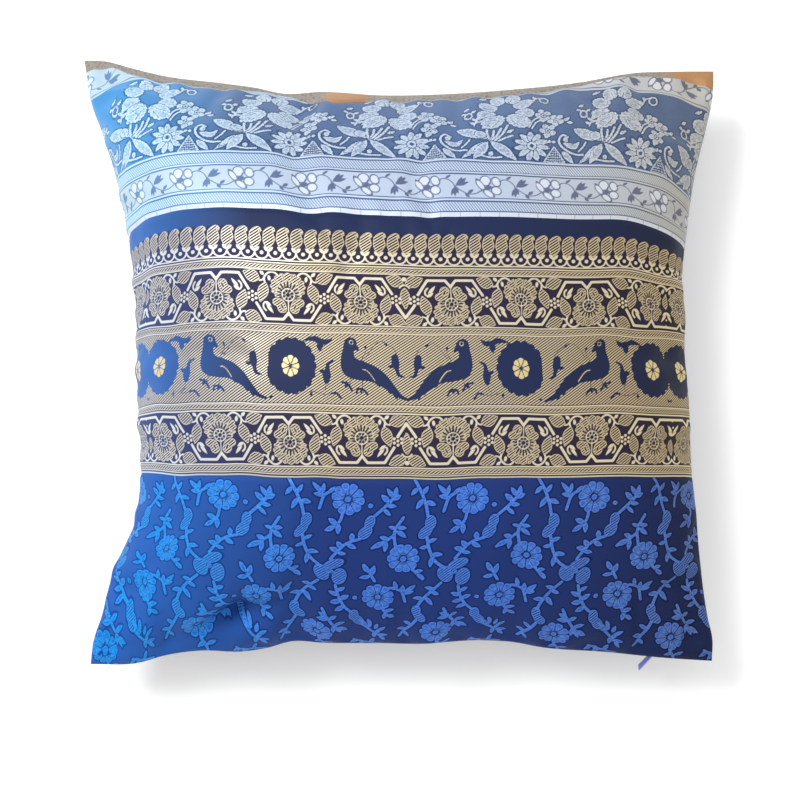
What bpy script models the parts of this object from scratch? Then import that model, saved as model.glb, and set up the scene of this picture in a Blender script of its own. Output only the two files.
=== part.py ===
"""A filled cushion cover, 400 mm square when flat, lying on its back.

The front is four strips of woven cloth sewn edge to edge, the back is one plain panel, and a
concealed zip in the lower seam lets its slider and pull tab hang out near the right-hand corner.
Lengths below are in millimetres until they are multiplied by MM.
"""
import math

import bmesh
import bpy
import numpy as np
from mathutils import Matrix, Vector

MM = 0.001

# The cloth before it is filled, measured down the front from the top seam
CLOTH = 400.0
TAN_BOTTOM = 10.0
SILVER_BOTTOM = 119.0
GOLD_BOTTOM = 274.0

# The strips of the front, from the lower seam up.
# Columns: node, lower edge and upper edge measured from the top seam, rows of faces.
STRIPS = [
    ("blue_brocade_panel", CLOTH, GOLD_BOTTOM, 11),
    ("gold_border_panel", GOLD_BOTTOM, SILVER_BOTTOM, 14),
    ("silver_floral_panel", SILVER_BOTTOM, TAN_BOTTOM, 10),
    ("tan_top_strip", TAN_BOTTOM, 0.0, 1),
]

# How the filled cushion stands
SEAM_HEIGHT = 62.0
CORNER_DROOP = 12.0
FRONT_RISE = 80.0
BACK_FALL = 92.0

# What the meshes are cut into, and the room between neighbours
COLUMNS = 36
GAP = 0.3
SEAM_CLOTH = 1.2

# Where the four corners lie in plan
CORNERS = {
    "lower left": (-190.5, -189.5),
    "lower right": (193.5, -187.5),
    "upper left": (-198.5, 189.5),
    "upper right": (198.5, 182.5),
}

# How far each seam is drawn in from the straight line between its corners.
# Columns: share of the way along, from -1 to 1; drawn in by.
LEFT_SEAM = [
    (-1.00, 0.0), (-0.93, 2.0), (-0.85, 7.5), (-0.75, 13.0), (-0.65, 20.0), (-0.55, 29.0),
    (-0.45, 32.5), (-0.35, 34.0), (-0.15, 32.5), (0.15, 32.0), (0.25, 31.0), (0.45, 26.0),
    (0.65, 17.5), (0.75, 11.5), (0.85, 5.0), (1.00, 0.0),
]
RIGHT_SEAM = [
    (-1.00, 0.0), (-0.93, 0.0), (-0.85, 3.5), (-0.65, 9.0), (-0.50, 11.5), (-0.35, 14.5),
    (-0.15, 16.0), (0.05, 19.0), (0.15, 18.5), (0.25, 20.5), (0.45, 17.5), (0.65, 12.0),
    (0.75, 7.5), (0.93, 0.5), (1.00, 0.0),
]
LOWER_SEAM = [
    (-1.00, 0.0), (-0.85, 0.5), (-0.75, 5.5), (-0.65, 8.0), (-0.50, 7.5), (-0.43, 9.5),
    (-0.35, 13.5), (-0.25, 12.5), (-0.05, 12.0), (0.05, 11.5), (0.25, 13.5), (0.35, 12.5),
    (0.45, 9.0), (0.65, 6.0), (0.85, 2.0), (1.00, 0.0),
]
UPPER_SEAM = [
    (-1.00, 0.0), (-0.93, 1.0), (-0.85, 5.5), (-0.75, 10.5), (-0.55, 15.5), (-0.45, 18.0),
    (-0.35, 21.5), (-0.25, 20.0), (-0.05, 21.5), (0.15, 20.0), (0.35, 16.5), (0.55, 11.5),
    (0.75, 3.5), (0.85, 2.0), (1.00, 0.0),
]

# The swell from a seam to the crown is (1 - d ** bend) ** rush, where d is 1 at the seam.
# Columns: bend, rush.
SWELL = {"left": (2.8, 0.47), "right": (1.7, 0.56), "lower": (2.2, 0.68), "upper": (3.9, 1.08)}
CROWN_ACROSS = -0.10
CROWN_UP = -0.05

# Soft troughs and ridges in the filled cloth, in the flat cloth's own places.
# Columns: across from the middle, up from the middle, heading in degrees, half length,
# half width, depth (a ridge is negative).
FOLDS = [
    (-104, -168, 62, 26, 9, 6.5),
    (-86, -150, 20, 22, 9, 3.0),
    (-128, -172, 80, 20, 10, -3.0),
    (-66, -180, 85, 22, 9, 3.5),
    (-152, -96, 84, 44, 9, 3.0),
    (-136, -80, 88, 40, 9, -2.0),
    (-164, -140, 60, 30, 10, 3.5),
    (-170, 60, 88, 36, 10, 2.0),
    (-60, 178, 80, 22, 11, 4.0),
    (-36, 182, 95, 18, 10, -2.5),
    (120, 172, 70, 26, 12, 2.5),
    (172, 20, 100, 34, 11, 3.0),
    (178, 52, 80, 26, 8, -2.0),
    (150, -168, 110, 24, 11, 3.0),
    (70, -182, 92, 22, 10, 2.5),
    (20, -184, 88, 20, 10, -2.0),
    (-80, 6, 12, 60, 14, 1.2),
    (100, -26, 172, 60, 15, 1.0),
]

# The gathers beside a seam: how high, how far in they reach, and how many to a side
GATHER_HEIGHT = 1.3
GATHER_REACH = 26.0
GATHERS = 13.0

# The zip's slider and the tab that hangs from it
SLIDER_LENGTH = 8.0
SLIDER_WIDTH = 4.6
SLIDER_THICK = 2.4
BAIL_SPAN = 5.0
BAIL_HEIGHT = 2.6
BAIL_WIRE = 1.0
BAIL_SUNK = 0.4
TAB_LENGTH = 16.0
TAB_WIDTH = 4.4
TAB_NECK = 3.6
TAB_THICK = 1.0
TAB_EYE = 3.0
TAB_RIM = 0.9
SLIDER_COLUMN = 32

# Which way the tab hangs from the bail: along the seam, up to the seam, out from the cloth
TAB_HEADING = (-0.35, -0.08, 0.93)

# Seam to seam across the middle each way, and how much further apart the seams' ends are
CHORD_ACROSS = 340.0
CHORD_UP = 342.0
CHORD_SPREAD = 40.0

# How far apart two places are whose difference gives the cloth's slope
CLOSE_BY = 0.8

# Steps from seam to seam, closest together where the cloth is steepest
EVEN_STEPS = np.sin(np.linspace(-math.pi / 2, math.pi / 2, 601))


def drawn_in(table, share):
    """A smooth curve through a seam's table, read at each share of the way along."""
    rows = np.array(table, dtype=float)
    place, depth = rows[:, 0], rows[:, 1]
    slope = np.gradient(depth, place)
    row = np.clip(np.searchsorted(place, share) - 1, 0, len(place) - 2)
    step = place[row + 1] - place[row]
    f = (share - place[row]) / step
    start = (2 * f**3 - 3 * f**2 + 1) * depth[row] + (f**3 - 2 * f**2 + f) * step * slope[row]
    return start + (3 * f**2 - 2 * f**3) * depth[row + 1] + (f**3 - f**2) * step * slope[row + 1]


def swell(share, crown, low_side, high_side):
    """How full the cushion is, from 0 at the seams to 1 at the crown."""
    bend_low, rush_low = SWELL[low_side]
    bend_high, rush_high = SWELL[high_side]
    below = np.clip((crown - share) / (1 + crown), 0, 1)
    above = np.clip((share - crown) / (1 - crown), 0, 1)
    low = (1 - below**bend_low) ** rush_low
    high = (1 - above**bend_high) ** rush_high
    return np.where(share < crown, low, high)


def swell_across(share):
    return swell(share, CROWN_ACROSS, "left", "right")


def swell_up(share):
    return swell(share, CROWN_UP, "lower", "upper")


def spread(cloth_share, rise, chord, profile):
    """Lay cloth evenly along a swelled line, and say where each point of it lands in plan."""
    along = EVEN_STEPS * chord / 2
    up = rise * profile(EVEN_STEPS)
    length = np.concatenate([[0.0], np.cumsum(np.hypot(np.diff(along), np.diff(up)))])
    return np.interp((cloth_share + 1) / 2, length / length[-1], EVEN_STEPS)


def landing(across, up):
    """The plan shares where the crossings of two lists of cloth shares land."""
    middle_across = spread(across, FRONT_RISE, CHORD_ACROSS, swell_across)
    middle_up = spread(up, FRONT_RISE, CHORD_UP, swell_up)
    rows = []
    for share in middle_up:
        chord = CHORD_ACROSS + CHORD_SPREAD * share**2
        rows.append(spread(across, FRONT_RISE * float(swell_up(share)), chord, swell_across))
    columns = []
    for share in middle_across:
        chord = CHORD_UP + CHORD_SPREAD * share**2
        columns.append(spread(up, FRONT_RISE * float(swell_across(share)), chord, swell_up))
    return np.array(rows), np.array(columns).T


def plan(share_across, share_up):
    """Stretch the plan square over the four drawn-in seams."""
    right = (share_across + 1) / 2
    top = (share_up + 1) / 2
    place = 0
    for name, weight in (
        ("lower left", (1 - right) * (1 - top)),
        ("lower right", right * (1 - top)),
        ("upper left", (1 - right) * top),
        ("upper right", right * top),
    ):
        place = place + weight[..., None] * np.array(CORNERS[name])
    left_pull = drawn_in(LEFT_SEAM, share_up) * (1 - right)
    right_pull = drawn_in(RIGHT_SEAM, share_up) * right
    lower_pull = drawn_in(LOWER_SEAM, share_across) * (1 - top)
    upper_pull = drawn_in(UPPER_SEAM, share_across) * top
    return place + np.stack([left_pull - right_pull, lower_pull - upper_pull], axis=-1)


def seam_height(share_across, share_up):
    """The level surface between the two halves, which drops towards the corners."""
    return SEAM_HEIGHT - CORNER_DROOP * (share_across * share_up) ** 4


def fold_depth(across, up):
    """How far the folds and gathers push the cloth in, at places on the flat cloth."""
    depth = 0
    for fold_across, fold_up, heading, half_length, half_width, fold in FOLDS:
        turn = math.radians(heading)
        along = (across - fold_across) * math.cos(turn) + (up - fold_up) * math.sin(turn)
        aside = (up - fold_up) * math.cos(turn) - (across - fold_across) * math.sin(turn)
        depth = depth + fold * np.exp(-((along / half_length) ** 2) - (aside / half_width) ** 2)
    for along, inward in ((across, CLOTH / 2 - abs(up)), (up, CLOTH / 2 - abs(across))):
        beat = GATHERS * math.pi * along / CLOTH
        wave = np.sin(2 * beat + 1.1) + 0.7 * np.sin(3.3 * beat + np.sign(inward) + 0.4)
        reach = inward / GATHER_REACH
        depth = depth + GATHER_HEIGHT * wave * 2.7 * reach * np.exp(-2.2 * reach)
    edge = np.minimum(CLOTH / 2 - abs(up), CLOTH / 2 - abs(across))
    return depth * np.clip(edge / 8.0, 0, 1)


def halves(across, up):
    """The smooth front, the level of the seams and the back at the crossings of two lists."""
    share_across, share_up = landing(across / (CLOTH / 2), up / (CLOTH / 2))
    place = plan(share_across, share_up)
    middle = seam_height(share_across, share_up)
    full = swell_across(share_across) * swell_up(share_up)
    front = np.concatenate([place, (middle + SEAM_CLOTH + FRONT_RISE * full)[..., None]], axis=-1)
    fallen = np.maximum(middle - SEAM_CLOTH - BACK_FALL * full, 0)
    back = np.concatenate([place, fallen[..., None]], axis=-1)
    level = np.concatenate([place, middle[..., None]], axis=-1)
    return front, level, back


def wrinkled(back, across, up):
    """Crease the back a little where it is clear of the ground."""
    depth = 0.6 * fold_depth(*np.meshgrid(across, up))
    height = back[..., 2]
    return np.where(height > 0, np.maximum(height + depth * np.clip(height / 20.0, 0, 1), 0), 0)


def material(name, color, roughness, metallic=0.0):
    finish = bpy.data.materials.new(name)
    finish.use_nodes = True
    shader = finish.node_tree.nodes["Principled BSDF"]
    shader.inputs["Base Color"].default_value = (*color, 1.0)
    shader.inputs["Roughness"].default_value = roughness
    shader.inputs["Metallic"].default_value = metallic
    finish.diffuse_color = (*color, 1.0)
    return finish


def add_object(name, bm, finish, collection):
    mesh = bpy.data.meshes.new(name)
    bm.to_mesh(mesh)
    bm.free()
    piece = bpy.data.objects.new(name, mesh)
    mesh.materials.append(finish)
    collection.objects.link(piece)
    return piece


def slab(name, rows, upper, lower, finish, collection):
    """A closed body between two grids of places, which have COLUMNS columns and so many rows."""
    bm = bmesh.new()
    bmesh.ops.create_grid(bm, x_segments=COLUMNS, y_segments=rows, size=1.0)
    raised = bmesh.ops.extrude_face_region(bm, geom=bm.faces[:])
    top = [v for v in raised["geom"] if isinstance(v, bmesh.types.BMVert)]
    bmesh.ops.translate(bm, verts=top, vec=(0.0, 0.0, 1.0))
    for vert in bm.verts:
        column = round((vert.co.x + 1) / 2 * COLUMNS)
        row = round((vert.co.y + 1) / 2 * rows)
        places = upper if vert.co.z > 0.5 else lower
        vert.co = Vector(places[row, column]) * MM
    bmesh.ops.triangulate(bm, faces=bm.faces[:])
    bmesh.ops.recalc_face_normals(bm, faces=bm.faces[:])
    piece = add_object(name, bm, finish, collection)
    piece.data.shade_smooth()
    piece.data.set_sharp_from_angle(angle=math.radians(50))
    return piece


def strip_places(lower_edge, upper_edge, rows):
    """Places up the cloth for one strip, cut back by half a gap where it meets another strip."""
    low = CLOTH / 2 - lower_edge + (GAP / 2 if lower_edge < CLOTH else 0)
    high = CLOTH / 2 - upper_edge - (GAP / 2 if upper_edge > 0 else 0)
    return np.linspace(low, high, rows + 1)


def front_strips(finishes, collection):
    across = np.linspace(-CLOTH / 2, CLOTH / 2, COLUMNS + 1)
    for name, lower_edge, upper_edge, rows in STRIPS:
        up = strip_places(lower_edge, upper_edge, rows)
        _, level, _ = halves(across, up)
        lower = level.copy()
        lower[..., 2] += GAP / 2
        slab(name, rows, folded_front(across, up), lower, finishes[name], collection)


def folded_front(across, up):
    """The front pushed in by its folds, along normals read from its close neighbours."""
    centre, _, _ = halves(across, up)
    limit = CLOTH / 2
    right, _, _ = halves(np.clip(across + CLOSE_BY, -limit, limit), up)
    left, _, _ = halves(np.clip(across - CLOSE_BY, -limit, limit), up)
    above, _, _ = halves(across, np.clip(up + CLOSE_BY, -limit, limit))
    below, _, _ = halves(across, np.clip(up - CLOSE_BY, -limit, limit))
    normal = np.cross(right - left, above - below)
    normal /= np.maximum(np.linalg.norm(normal, axis=-1, keepdims=True), 1e-9)
    depth = fold_depth(*np.meshgrid(across, up))
    return centre - normal * depth[..., None]


def back_panel(finish, collection):
    across = np.linspace(-CLOTH / 2, CLOTH / 2, COLUMNS + 1)
    up = [-CLOTH / 2]
    total = 0
    for _, lower_edge, upper_edge, rows in STRIPS:
        places = np.linspace(CLOTH / 2 - lower_edge, CLOTH / 2 - upper_edge, rows + 1)
        up.extend(places[1:])
        total += rows
    up = np.array(up)
    _, level, back = halves(across, up)
    back[..., 2] = wrinkled(back, across, up)
    upper = level.copy()
    upper[..., 2] -= GAP / 2
    slab("back_panel", total, upper, back, finish, collection)
    return back


def cell_frame(back, column):
    """The middle and the directions of one cell in the back's lowest row of cloth."""
    low_left, low_right = Vector(back[0, column]), Vector(back[0, column + 1])
    high_left, high_right = Vector(back[1, column]), Vector(back[1, column + 1])
    along = ((low_right - low_left) + (high_right - high_left)).normalized()
    to_seam = ((low_left - high_left) + (low_right - high_right)).normalized()
    outward = along.cross(to_seam).normalized()
    to_seam = outward.cross(along).normalized()
    middle = (low_left + low_right + high_left + high_right) / 4
    return middle, along, to_seam, outward


def rounded_box(bm, size, rounding, place):
    """A box with every edge rounded, put at a place given by a matrix."""
    box = bmesh.ops.create_cube(bm, size=1.0, matrix=Matrix.Diagonal((*size, 1.0)))
    edges = list({edge for vert in box["verts"] for edge in vert.link_edges})
    made = bmesh.ops.bevel(bm, geom=edges, offset=rounding, segments=2, profile=0.5, affect="EDGES")
    verts = {v for face in made["faces"] for v in face.verts} | {v for v in box["verts"] if v.is_valid}
    bmesh.ops.transform(bm, matrix=place, verts=list(verts))


def arch(name, span, height, wire, place, collection):
    """A half ring of round wire in its own XY plane, made a mesh with welded caps."""
    curve = bpy.data.curves.new(name, "CURVE")
    curve.dimensions = "3D"
    curve.bevel_depth = wire / 2
    curve.bevel_resolution = 2
    curve.use_fill_caps = True
    steps = 10
    spline = curve.splines.new("POLY")
    spline.points.add(steps)
    for index in range(steps + 1):
        turn = math.pi * index / steps
        spline.points[index].co = (-span / 2 * math.cos(turn), height * math.sin(turn), 0.0, 1.0)
    line = bpy.data.objects.new(name, curve)
    collection.objects.link(line)
    line.matrix_world = place
    bpy.context.view_layer.update()
    depsgraph = bpy.context.evaluated_depsgraph_get()
    mesh = bpy.data.meshes.new_from_object(line.evaluated_get(depsgraph))
    bm = bmesh.new()
    bm.from_mesh(mesh)
    bmesh.ops.remove_doubles(bm, verts=bm.verts[:], dist=0.00001)
    bmesh.ops.recalc_face_normals(bm, faces=bm.faces[:])
    bm.to_mesh(mesh)
    bm.free()
    solid = bpy.data.objects.new(name, mesh)
    solid.matrix_world = place
    collection.objects.link(solid)
    bpy.data.objects.remove(line)
    return solid


def cutter_box(name, size, place, collection):
    bm = bmesh.new()
    bmesh.ops.create_cube(bm, size=1.0, matrix=Matrix.Diagonal((*size, 1.0)))
    mesh = bpy.data.meshes.new(name)
    bm.to_mesh(mesh)
    bm.free()
    box = bpy.data.objects.new(name, mesh)
    box.matrix_world = place
    box.hide_render = True
    box.display_type = "WIRE"
    collection.objects.link(box)
    return box


def zip_slider(frame, finish, collection, cutters):
    """A small lozenge against the cloth below the seam, with a wire bail on its outer face."""
    middle, along, to_seam, outward = frame
    seat = middle + outward * (GAP + SLIDER_THICK / 2)
    turn = Matrix((along, to_seam, outward)).transposed().to_4x4()
    place = Matrix.Translation(seat * MM) @ turn
    bm = bmesh.new()
    size = (SLIDER_LENGTH * MM, SLIDER_WIDTH * MM, SLIDER_THICK * MM)
    rounded_box(bm, size, 0.7 * MM, Matrix.Identity(4))
    bmesh.ops.recalc_face_normals(bm, faces=bm.faces[:])
    slider = add_object("zip_slider", bm, finish, collection)
    slider.matrix_world = place
    foot_height = SLIDER_THICK / 2 - BAIL_SUNK
    foot = Matrix.Translation(Vector((0, 0, foot_height)) * MM) @ Matrix.Rotation(math.pi / 2, 4, "X")
    bail = arch("bail", BAIL_SPAN * MM, BAIL_HEIGHT * MM, BAIL_WIRE * MM, place @ foot, cutters)
    bail.hide_render = True
    bail.display_type = "WIRE"
    join = slider.modifiers.new("bail joined on", "BOOLEAN")
    join.operation = "UNION"
    join.solver = "EXACT"
    join.object = bail
    return place @ (Vector((0, 0, foot_height + BAIL_HEIGHT)) * MM)


def zip_tab(hook, frame, finish, collection, cutters):
    """A flat tab with an eye that the bail's wire runs through, hanging out past the seam."""
    _, along, to_seam, outward = frame
    down = (along * TAB_HEADING[0] + to_seam * TAB_HEADING[1] + outward * TAB_HEADING[2]).normalized()
    side = (to_seam - down * to_seam.dot(down)).normalized()
    face = side.cross(down)
    turn = Matrix((side, down, face)).transposed().to_4x4()
    eye_middle = TAB_RIM + TAB_EYE / 2
    slack = TAB_EYE / 2 - BAIL_WIRE / 2 - 0.5
    place = Matrix.Translation(hook) @ turn
    place = place @ Matrix.Translation(Vector((0, slack - eye_middle, 0)) * MM)
    bm = bmesh.new()
    size = (TAB_WIDTH * MM, TAB_LENGTH * MM, TAB_THICK * MM)
    rounded_box(bm, size, 0.35 * MM, Matrix.Translation(Vector((0, TAB_LENGTH / 2, 0)) * MM))
    for vert in bm.verts:
        share = min(max(vert.co.y / (TAB_LENGTH * MM), 0.0), 1.0)
        vert.co.x *= (TAB_NECK + (TAB_WIDTH - TAB_NECK) * share) / TAB_WIDTH
    bmesh.ops.recalc_face_normals(bm, faces=bm.faces[:])
    tab = add_object("zip_pull_tab", bm, finish, collection)
    tab.matrix_world = place
    hole = Matrix.Translation(Vector((0, eye_middle, 0)) * MM)
    size = ((TAB_NECK - 2 * TAB_RIM) * MM, TAB_EYE * MM, 3 * TAB_THICK * MM)
    eye = cutter_box("eye", size, place @ hole, cutters)
    cut = tab.modifiers.new("eye cut through", "BOOLEAN")
    cut.operation = "DIFFERENCE"
    cut.solver = "EXACT"
    cut.object = eye


def main():
    for old in list(bpy.data.objects):
        bpy.data.objects.remove(old)
    collection = bpy.data.collections.new("cushion cover")
    cutters = bpy.data.collections.new("cutters")
    bpy.context.scene.collection.children.link(collection)
    bpy.context.scene.collection.children.link(cutters)
    finishes = {
        "tan_top_strip": material("tan silk", (0.50, 0.33, 0.17), 0.55),
        "silver_floral_panel": material("pale blue satin", (0.16, 0.30, 0.55), 0.42),
        "gold_border_panel": material("navy and gold weave", (0.30, 0.24, 0.13), 0.45),
        "blue_brocade_panel": material("royal blue brocade", (0.02, 0.06, 0.35), 0.40),
    }
    front_strips(finishes, collection)
    back = back_panel(material("plain navy satin", (0.012, 0.02, 0.09), 0.50), collection)
    frame = cell_frame(back, SLIDER_COLUMN)
    hook = zip_slider(frame, material("nickel", (0.62, 0.63, 0.66), 0.30, 1.0), collection, cutters)
    lacquer = material("lavender lacquer", (0.16, 0.17, 0.50), 0.35)
    zip_tab(hook, frame, lacquer, collection, cutters)


main()
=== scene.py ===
# %% [markdown]
# # A filled cushion cover in sari silk
#
# The real object is a 400 mm square cover, sewn from strips of brocade and stuffed until its
# middle stands proud and its sides draw in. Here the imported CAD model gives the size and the
# place of every piece, and this script lays finely woven cloth over the same form.

import math

import bpy
import numpy as np
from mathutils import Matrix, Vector


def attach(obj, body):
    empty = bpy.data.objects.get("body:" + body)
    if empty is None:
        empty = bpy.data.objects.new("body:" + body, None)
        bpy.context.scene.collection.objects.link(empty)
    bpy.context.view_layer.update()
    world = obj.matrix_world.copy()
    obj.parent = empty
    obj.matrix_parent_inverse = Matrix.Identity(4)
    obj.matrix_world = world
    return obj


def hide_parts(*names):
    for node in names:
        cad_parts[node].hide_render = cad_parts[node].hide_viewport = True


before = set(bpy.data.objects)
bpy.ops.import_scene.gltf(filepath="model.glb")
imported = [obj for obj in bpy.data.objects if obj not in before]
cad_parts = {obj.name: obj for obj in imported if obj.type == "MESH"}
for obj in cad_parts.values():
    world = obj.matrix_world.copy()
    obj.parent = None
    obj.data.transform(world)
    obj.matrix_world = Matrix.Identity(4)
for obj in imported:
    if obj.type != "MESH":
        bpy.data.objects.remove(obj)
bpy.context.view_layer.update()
MM = 0.001
print("pieces in the packed model:", sorted(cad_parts))

# %% [markdown]
# The cushion lies on its back, and the camera looks almost straight down on it, tipped by five
# degrees so that the lower seam shows a little of its side. A long lens from far away keeps the
# nearer seam from looking wider than the far one.

# %% Camera
LOOKED_AT = Vector((0.0007, -0.0338, 0.145))
CAMERA_TIP = math.radians(5)
CAMERA_AWAY = 1.5
LENS = 115
SENSOR = 36

eye_line = Vector((0, -math.sin(CAMERA_TIP), math.cos(CAMERA_TIP)))
bpy.ops.object.camera_add(location=LOOKED_AT + eye_line * CAMERA_AWAY)
camera = bpy.context.active_object
camera.rotation_euler = eye_line.to_track_quat("Z", "Y").to_euler()
camera.data.lens = LENS
camera.data.sensor_width = SENSOR
bpy.context.scene.camera = camera
print("camera stands", round(camera.location.z, 3), "m up")

# %% [markdown]
# ## The form
#
# Every point of the flat cloth, given in millimetres across and up from its middle, has one
# place on the filled cushion. The same named values and curves as in the CAD source say where:
# the drawn-in seams in plan, and a swell from the seams to the crown.

# %% The form's values
CLOTH = 400.0
SEAM_HEIGHT = 62.0
CORNER_DROOP = 12.0
FRONT_RISE = 80.0
BACK_FALL = 92.0
GAP = 0.3
SEAM_CLOTH = 1.2
CROWN_ACROSS = -0.10
CROWN_UP = -0.05
CHORD_ACROSS = 340.0
CHORD_UP = 342.0
CHORD_SPREAD = 40.0
CLOSE_BY = 0.8
EVEN_STEPS = np.sin(np.linspace(-math.pi / 2, math.pi / 2, 601))

# How the form swells from each seam. Columns: how blunt its bend is, how fast it first rises.
SWELL = {"left": (2.8, 0.47), "right": (1.7, 0.56), "lower": (2.2, 0.68), "upper": (3.9, 1.08)}

# Where the corners lie in plan. Columns: across, up.
CORNERS = {
    "lower left": (-190.5, -189.5),
    "lower right": (193.5, -187.5),
    "upper left": (-198.5, 189.5),
    "upper right": (198.5, 182.5),
}

# How far each seam is drawn in. Columns: share of the way along, from -1 to 1; drawn in by.
LEFT_SEAM = [
    (-1.00, 0.0), (-0.93, 2.0), (-0.85, 7.5), (-0.75, 13.0), (-0.65, 20.0), (-0.55, 29.0),
    (-0.45, 32.5), (-0.35, 34.0), (-0.15, 32.5), (0.15, 32.0), (0.25, 31.0), (0.45, 26.0),
    (0.65, 17.5), (0.75, 11.5), (0.85, 5.0), (1.00, 0.0),
]
RIGHT_SEAM = [
    (-1.00, 0.0), (-0.93, 0.0), (-0.85, 3.5), (-0.65, 9.0), (-0.50, 11.5), (-0.35, 14.5),
    (-0.15, 16.0), (0.05, 19.0), (0.15, 18.5), (0.25, 20.5), (0.45, 17.5), (0.65, 12.0),
    (0.75, 7.5), (0.93, 0.5), (1.00, 0.0),
]
LOWER_SEAM = [
    (-1.00, 0.0), (-0.85, 0.5), (-0.75, 5.5), (-0.65, 8.0), (-0.50, 7.5), (-0.43, 9.5),
    (-0.35, 13.5), (-0.25, 12.5), (-0.05, 12.0), (0.05, 11.5), (0.25, 13.5), (0.35, 12.5),
    (0.45, 9.0), (0.65, 6.0), (0.85, 2.0), (1.00, 0.0),
]
UPPER_SEAM = [
    (-1.00, 0.0), (-0.93, 1.0), (-0.85, 5.5), (-0.75, 10.5), (-0.55, 15.5), (-0.45, 18.0),
    (-0.35, 21.5), (-0.25, 20.0), (-0.05, 21.5), (0.15, 20.0), (0.35, 16.5), (0.55, 11.5),
    (0.75, 3.5), (0.85, 2.0), (1.00, 0.0),
]

# Soft troughs. Columns: across, up, heading in degrees, half length, half width, depth.
FOLDS = [
    (-104, -168, 62, 26, 8, 7.0),
    (-104, -171, 23, 44, 9, 12.0),
    (-128, -172, 80, 20, 10, -3.0),
    (-66, -180, 85, 22, 9, 3.5),
    (-152, -96, 84, 44, 9, 3.0),
    (-136, -80, 88, 40, 9, -2.0),
    (-164, -140, 60, 30, 10, 3.5),
    (-170, 60, 88, 36, 10, 2.0),
    (-60, 178, 80, 22, 11, 4.0),
    (-36, 182, 95, 18, 10, -2.5),
    (120, 172, 70, 26, 12, 2.5),
    (172, 20, 100, 34, 11, 3.0),
    (178, 52, 80, 26, 8, -2.0),
    (150, -168, 110, 24, 11, 3.0),
    (70, -182, 92, 22, 10, 2.5),
    (20, -184, 88, 20, 10, -2.0),
    (-80, 6, 12, 60, 14, 1.2),
    (100, -26, 172, 60, 15, 1.0),
]
FOLD_FADE = 8.0

# The small gathers along the seams: their height, how far in they reach, and how many there are
GATHER_HEIGHT = 1.3
GATHER_REACH = 26.0
GATHERS = 13.0
GATHER_RISE = 2.7
GATHER_FALL = 2.2
print("seams at", SEAM_HEIGHT, "mm, crown", SEAM_HEIGHT + SEAM_CLOTH + FRONT_RISE, "mm")


# %% Curves through tables, and the swell
def curve_through(table, place):
    """A smooth curve through rows of (place, value), read at each place."""
    rows = np.array(table, dtype=float)
    knots, values = rows[:, 0], rows[:, 1]
    slope = np.gradient(values, knots)
    row = np.clip(np.searchsorted(knots, place) - 1, 0, len(knots) - 2)
    step = knots[row + 1] - knots[row]
    f = np.clip((place - knots[row]) / step, 0, 1)
    start = (2 * f**3 - 3 * f**2 + 1) * values[row] + (f**3 - 2 * f**2 + f) * step * slope[row]
    return start + (3 * f**2 - 2 * f**3) * values[row + 1] + (f**3 - f**2) * step * slope[row + 1]


def swell(share, crown, low_side, high_side):
    """How full the cushion is, from 0 at the seams to 1 at the crown."""
    bend_low, rush_low = SWELL[low_side]
    bend_high, rush_high = SWELL[high_side]
    below = np.clip((crown - share) / (1 + crown), 0, 1)
    above = np.clip((share - crown) / (1 - crown), 0, 1)
    low = (1 - below**bend_low) ** rush_low
    high = (1 - above**bend_high) ** rush_high
    return np.where(share < crown, low, high)


def swell_across(share):
    """How full the cushion is from left to right."""
    return swell(share, CROWN_ACROSS, "left", "right")


def swell_up(share):
    """How full the cushion is from the lower seam to the upper one."""
    return swell(share, CROWN_UP, "lower", "upper")


print("swell half way out:", round(float(swell_across(0.5)), 2), round(float(swell_up(0.5)), 2))


# %% Where the cloth lands in plan
def spread(cloth_share, rise, chord, profile):
    """Lay cloth evenly along a swelled line, and say where each point of it lands in plan."""
    along = EVEN_STEPS * chord / 2
    up = rise * profile(EVEN_STEPS)
    length = np.concatenate([[0.0], np.cumsum(np.hypot(np.diff(along), np.diff(up)))])
    return np.interp((cloth_share + 1) / 2, length / length[-1], EVEN_STEPS)


def landing(across, up):
    """The plan shares where the crossings of two lists of cloth shares land."""
    middle_across = spread(across, FRONT_RISE, CHORD_ACROSS, swell_across)
    middle_up = spread(up, FRONT_RISE, CHORD_UP, swell_up)
    rows = []
    for share in middle_up:
        chord = CHORD_ACROSS + CHORD_SPREAD * share**2
        rows.append(spread(across, FRONT_RISE * float(swell_up(share)), chord, swell_across))
    columns = []
    for share in middle_across:
        chord = CHORD_UP + CHORD_SPREAD * share**2
        columns.append(spread(up, FRONT_RISE * float(swell_across(share)), chord, swell_up))
    return np.array(rows), np.array(columns).T


def plan(share_across, share_up):
    """Stretch the plan square over the four drawn-in seams."""
    right = (share_across + 1) / 2
    top = (share_up + 1) / 2
    place = 0
    for name, weight in (
        ("lower left", (1 - right) * (1 - top)),
        ("lower right", right * (1 - top)),
        ("upper left", (1 - right) * top),
        ("upper right", right * top),
    ):
        place = place + weight[..., None] * np.array(CORNERS[name])
    left_pull = curve_through(LEFT_SEAM, share_up) * (1 - right)
    right_pull = curve_through(RIGHT_SEAM, share_up) * right
    lower_pull = curve_through(LOWER_SEAM, share_across) * (1 - top)
    upper_pull = curve_through(UPPER_SEAM, share_across) * top
    return place + np.stack([left_pull - right_pull, lower_pull - upper_pull], axis=-1)


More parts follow.
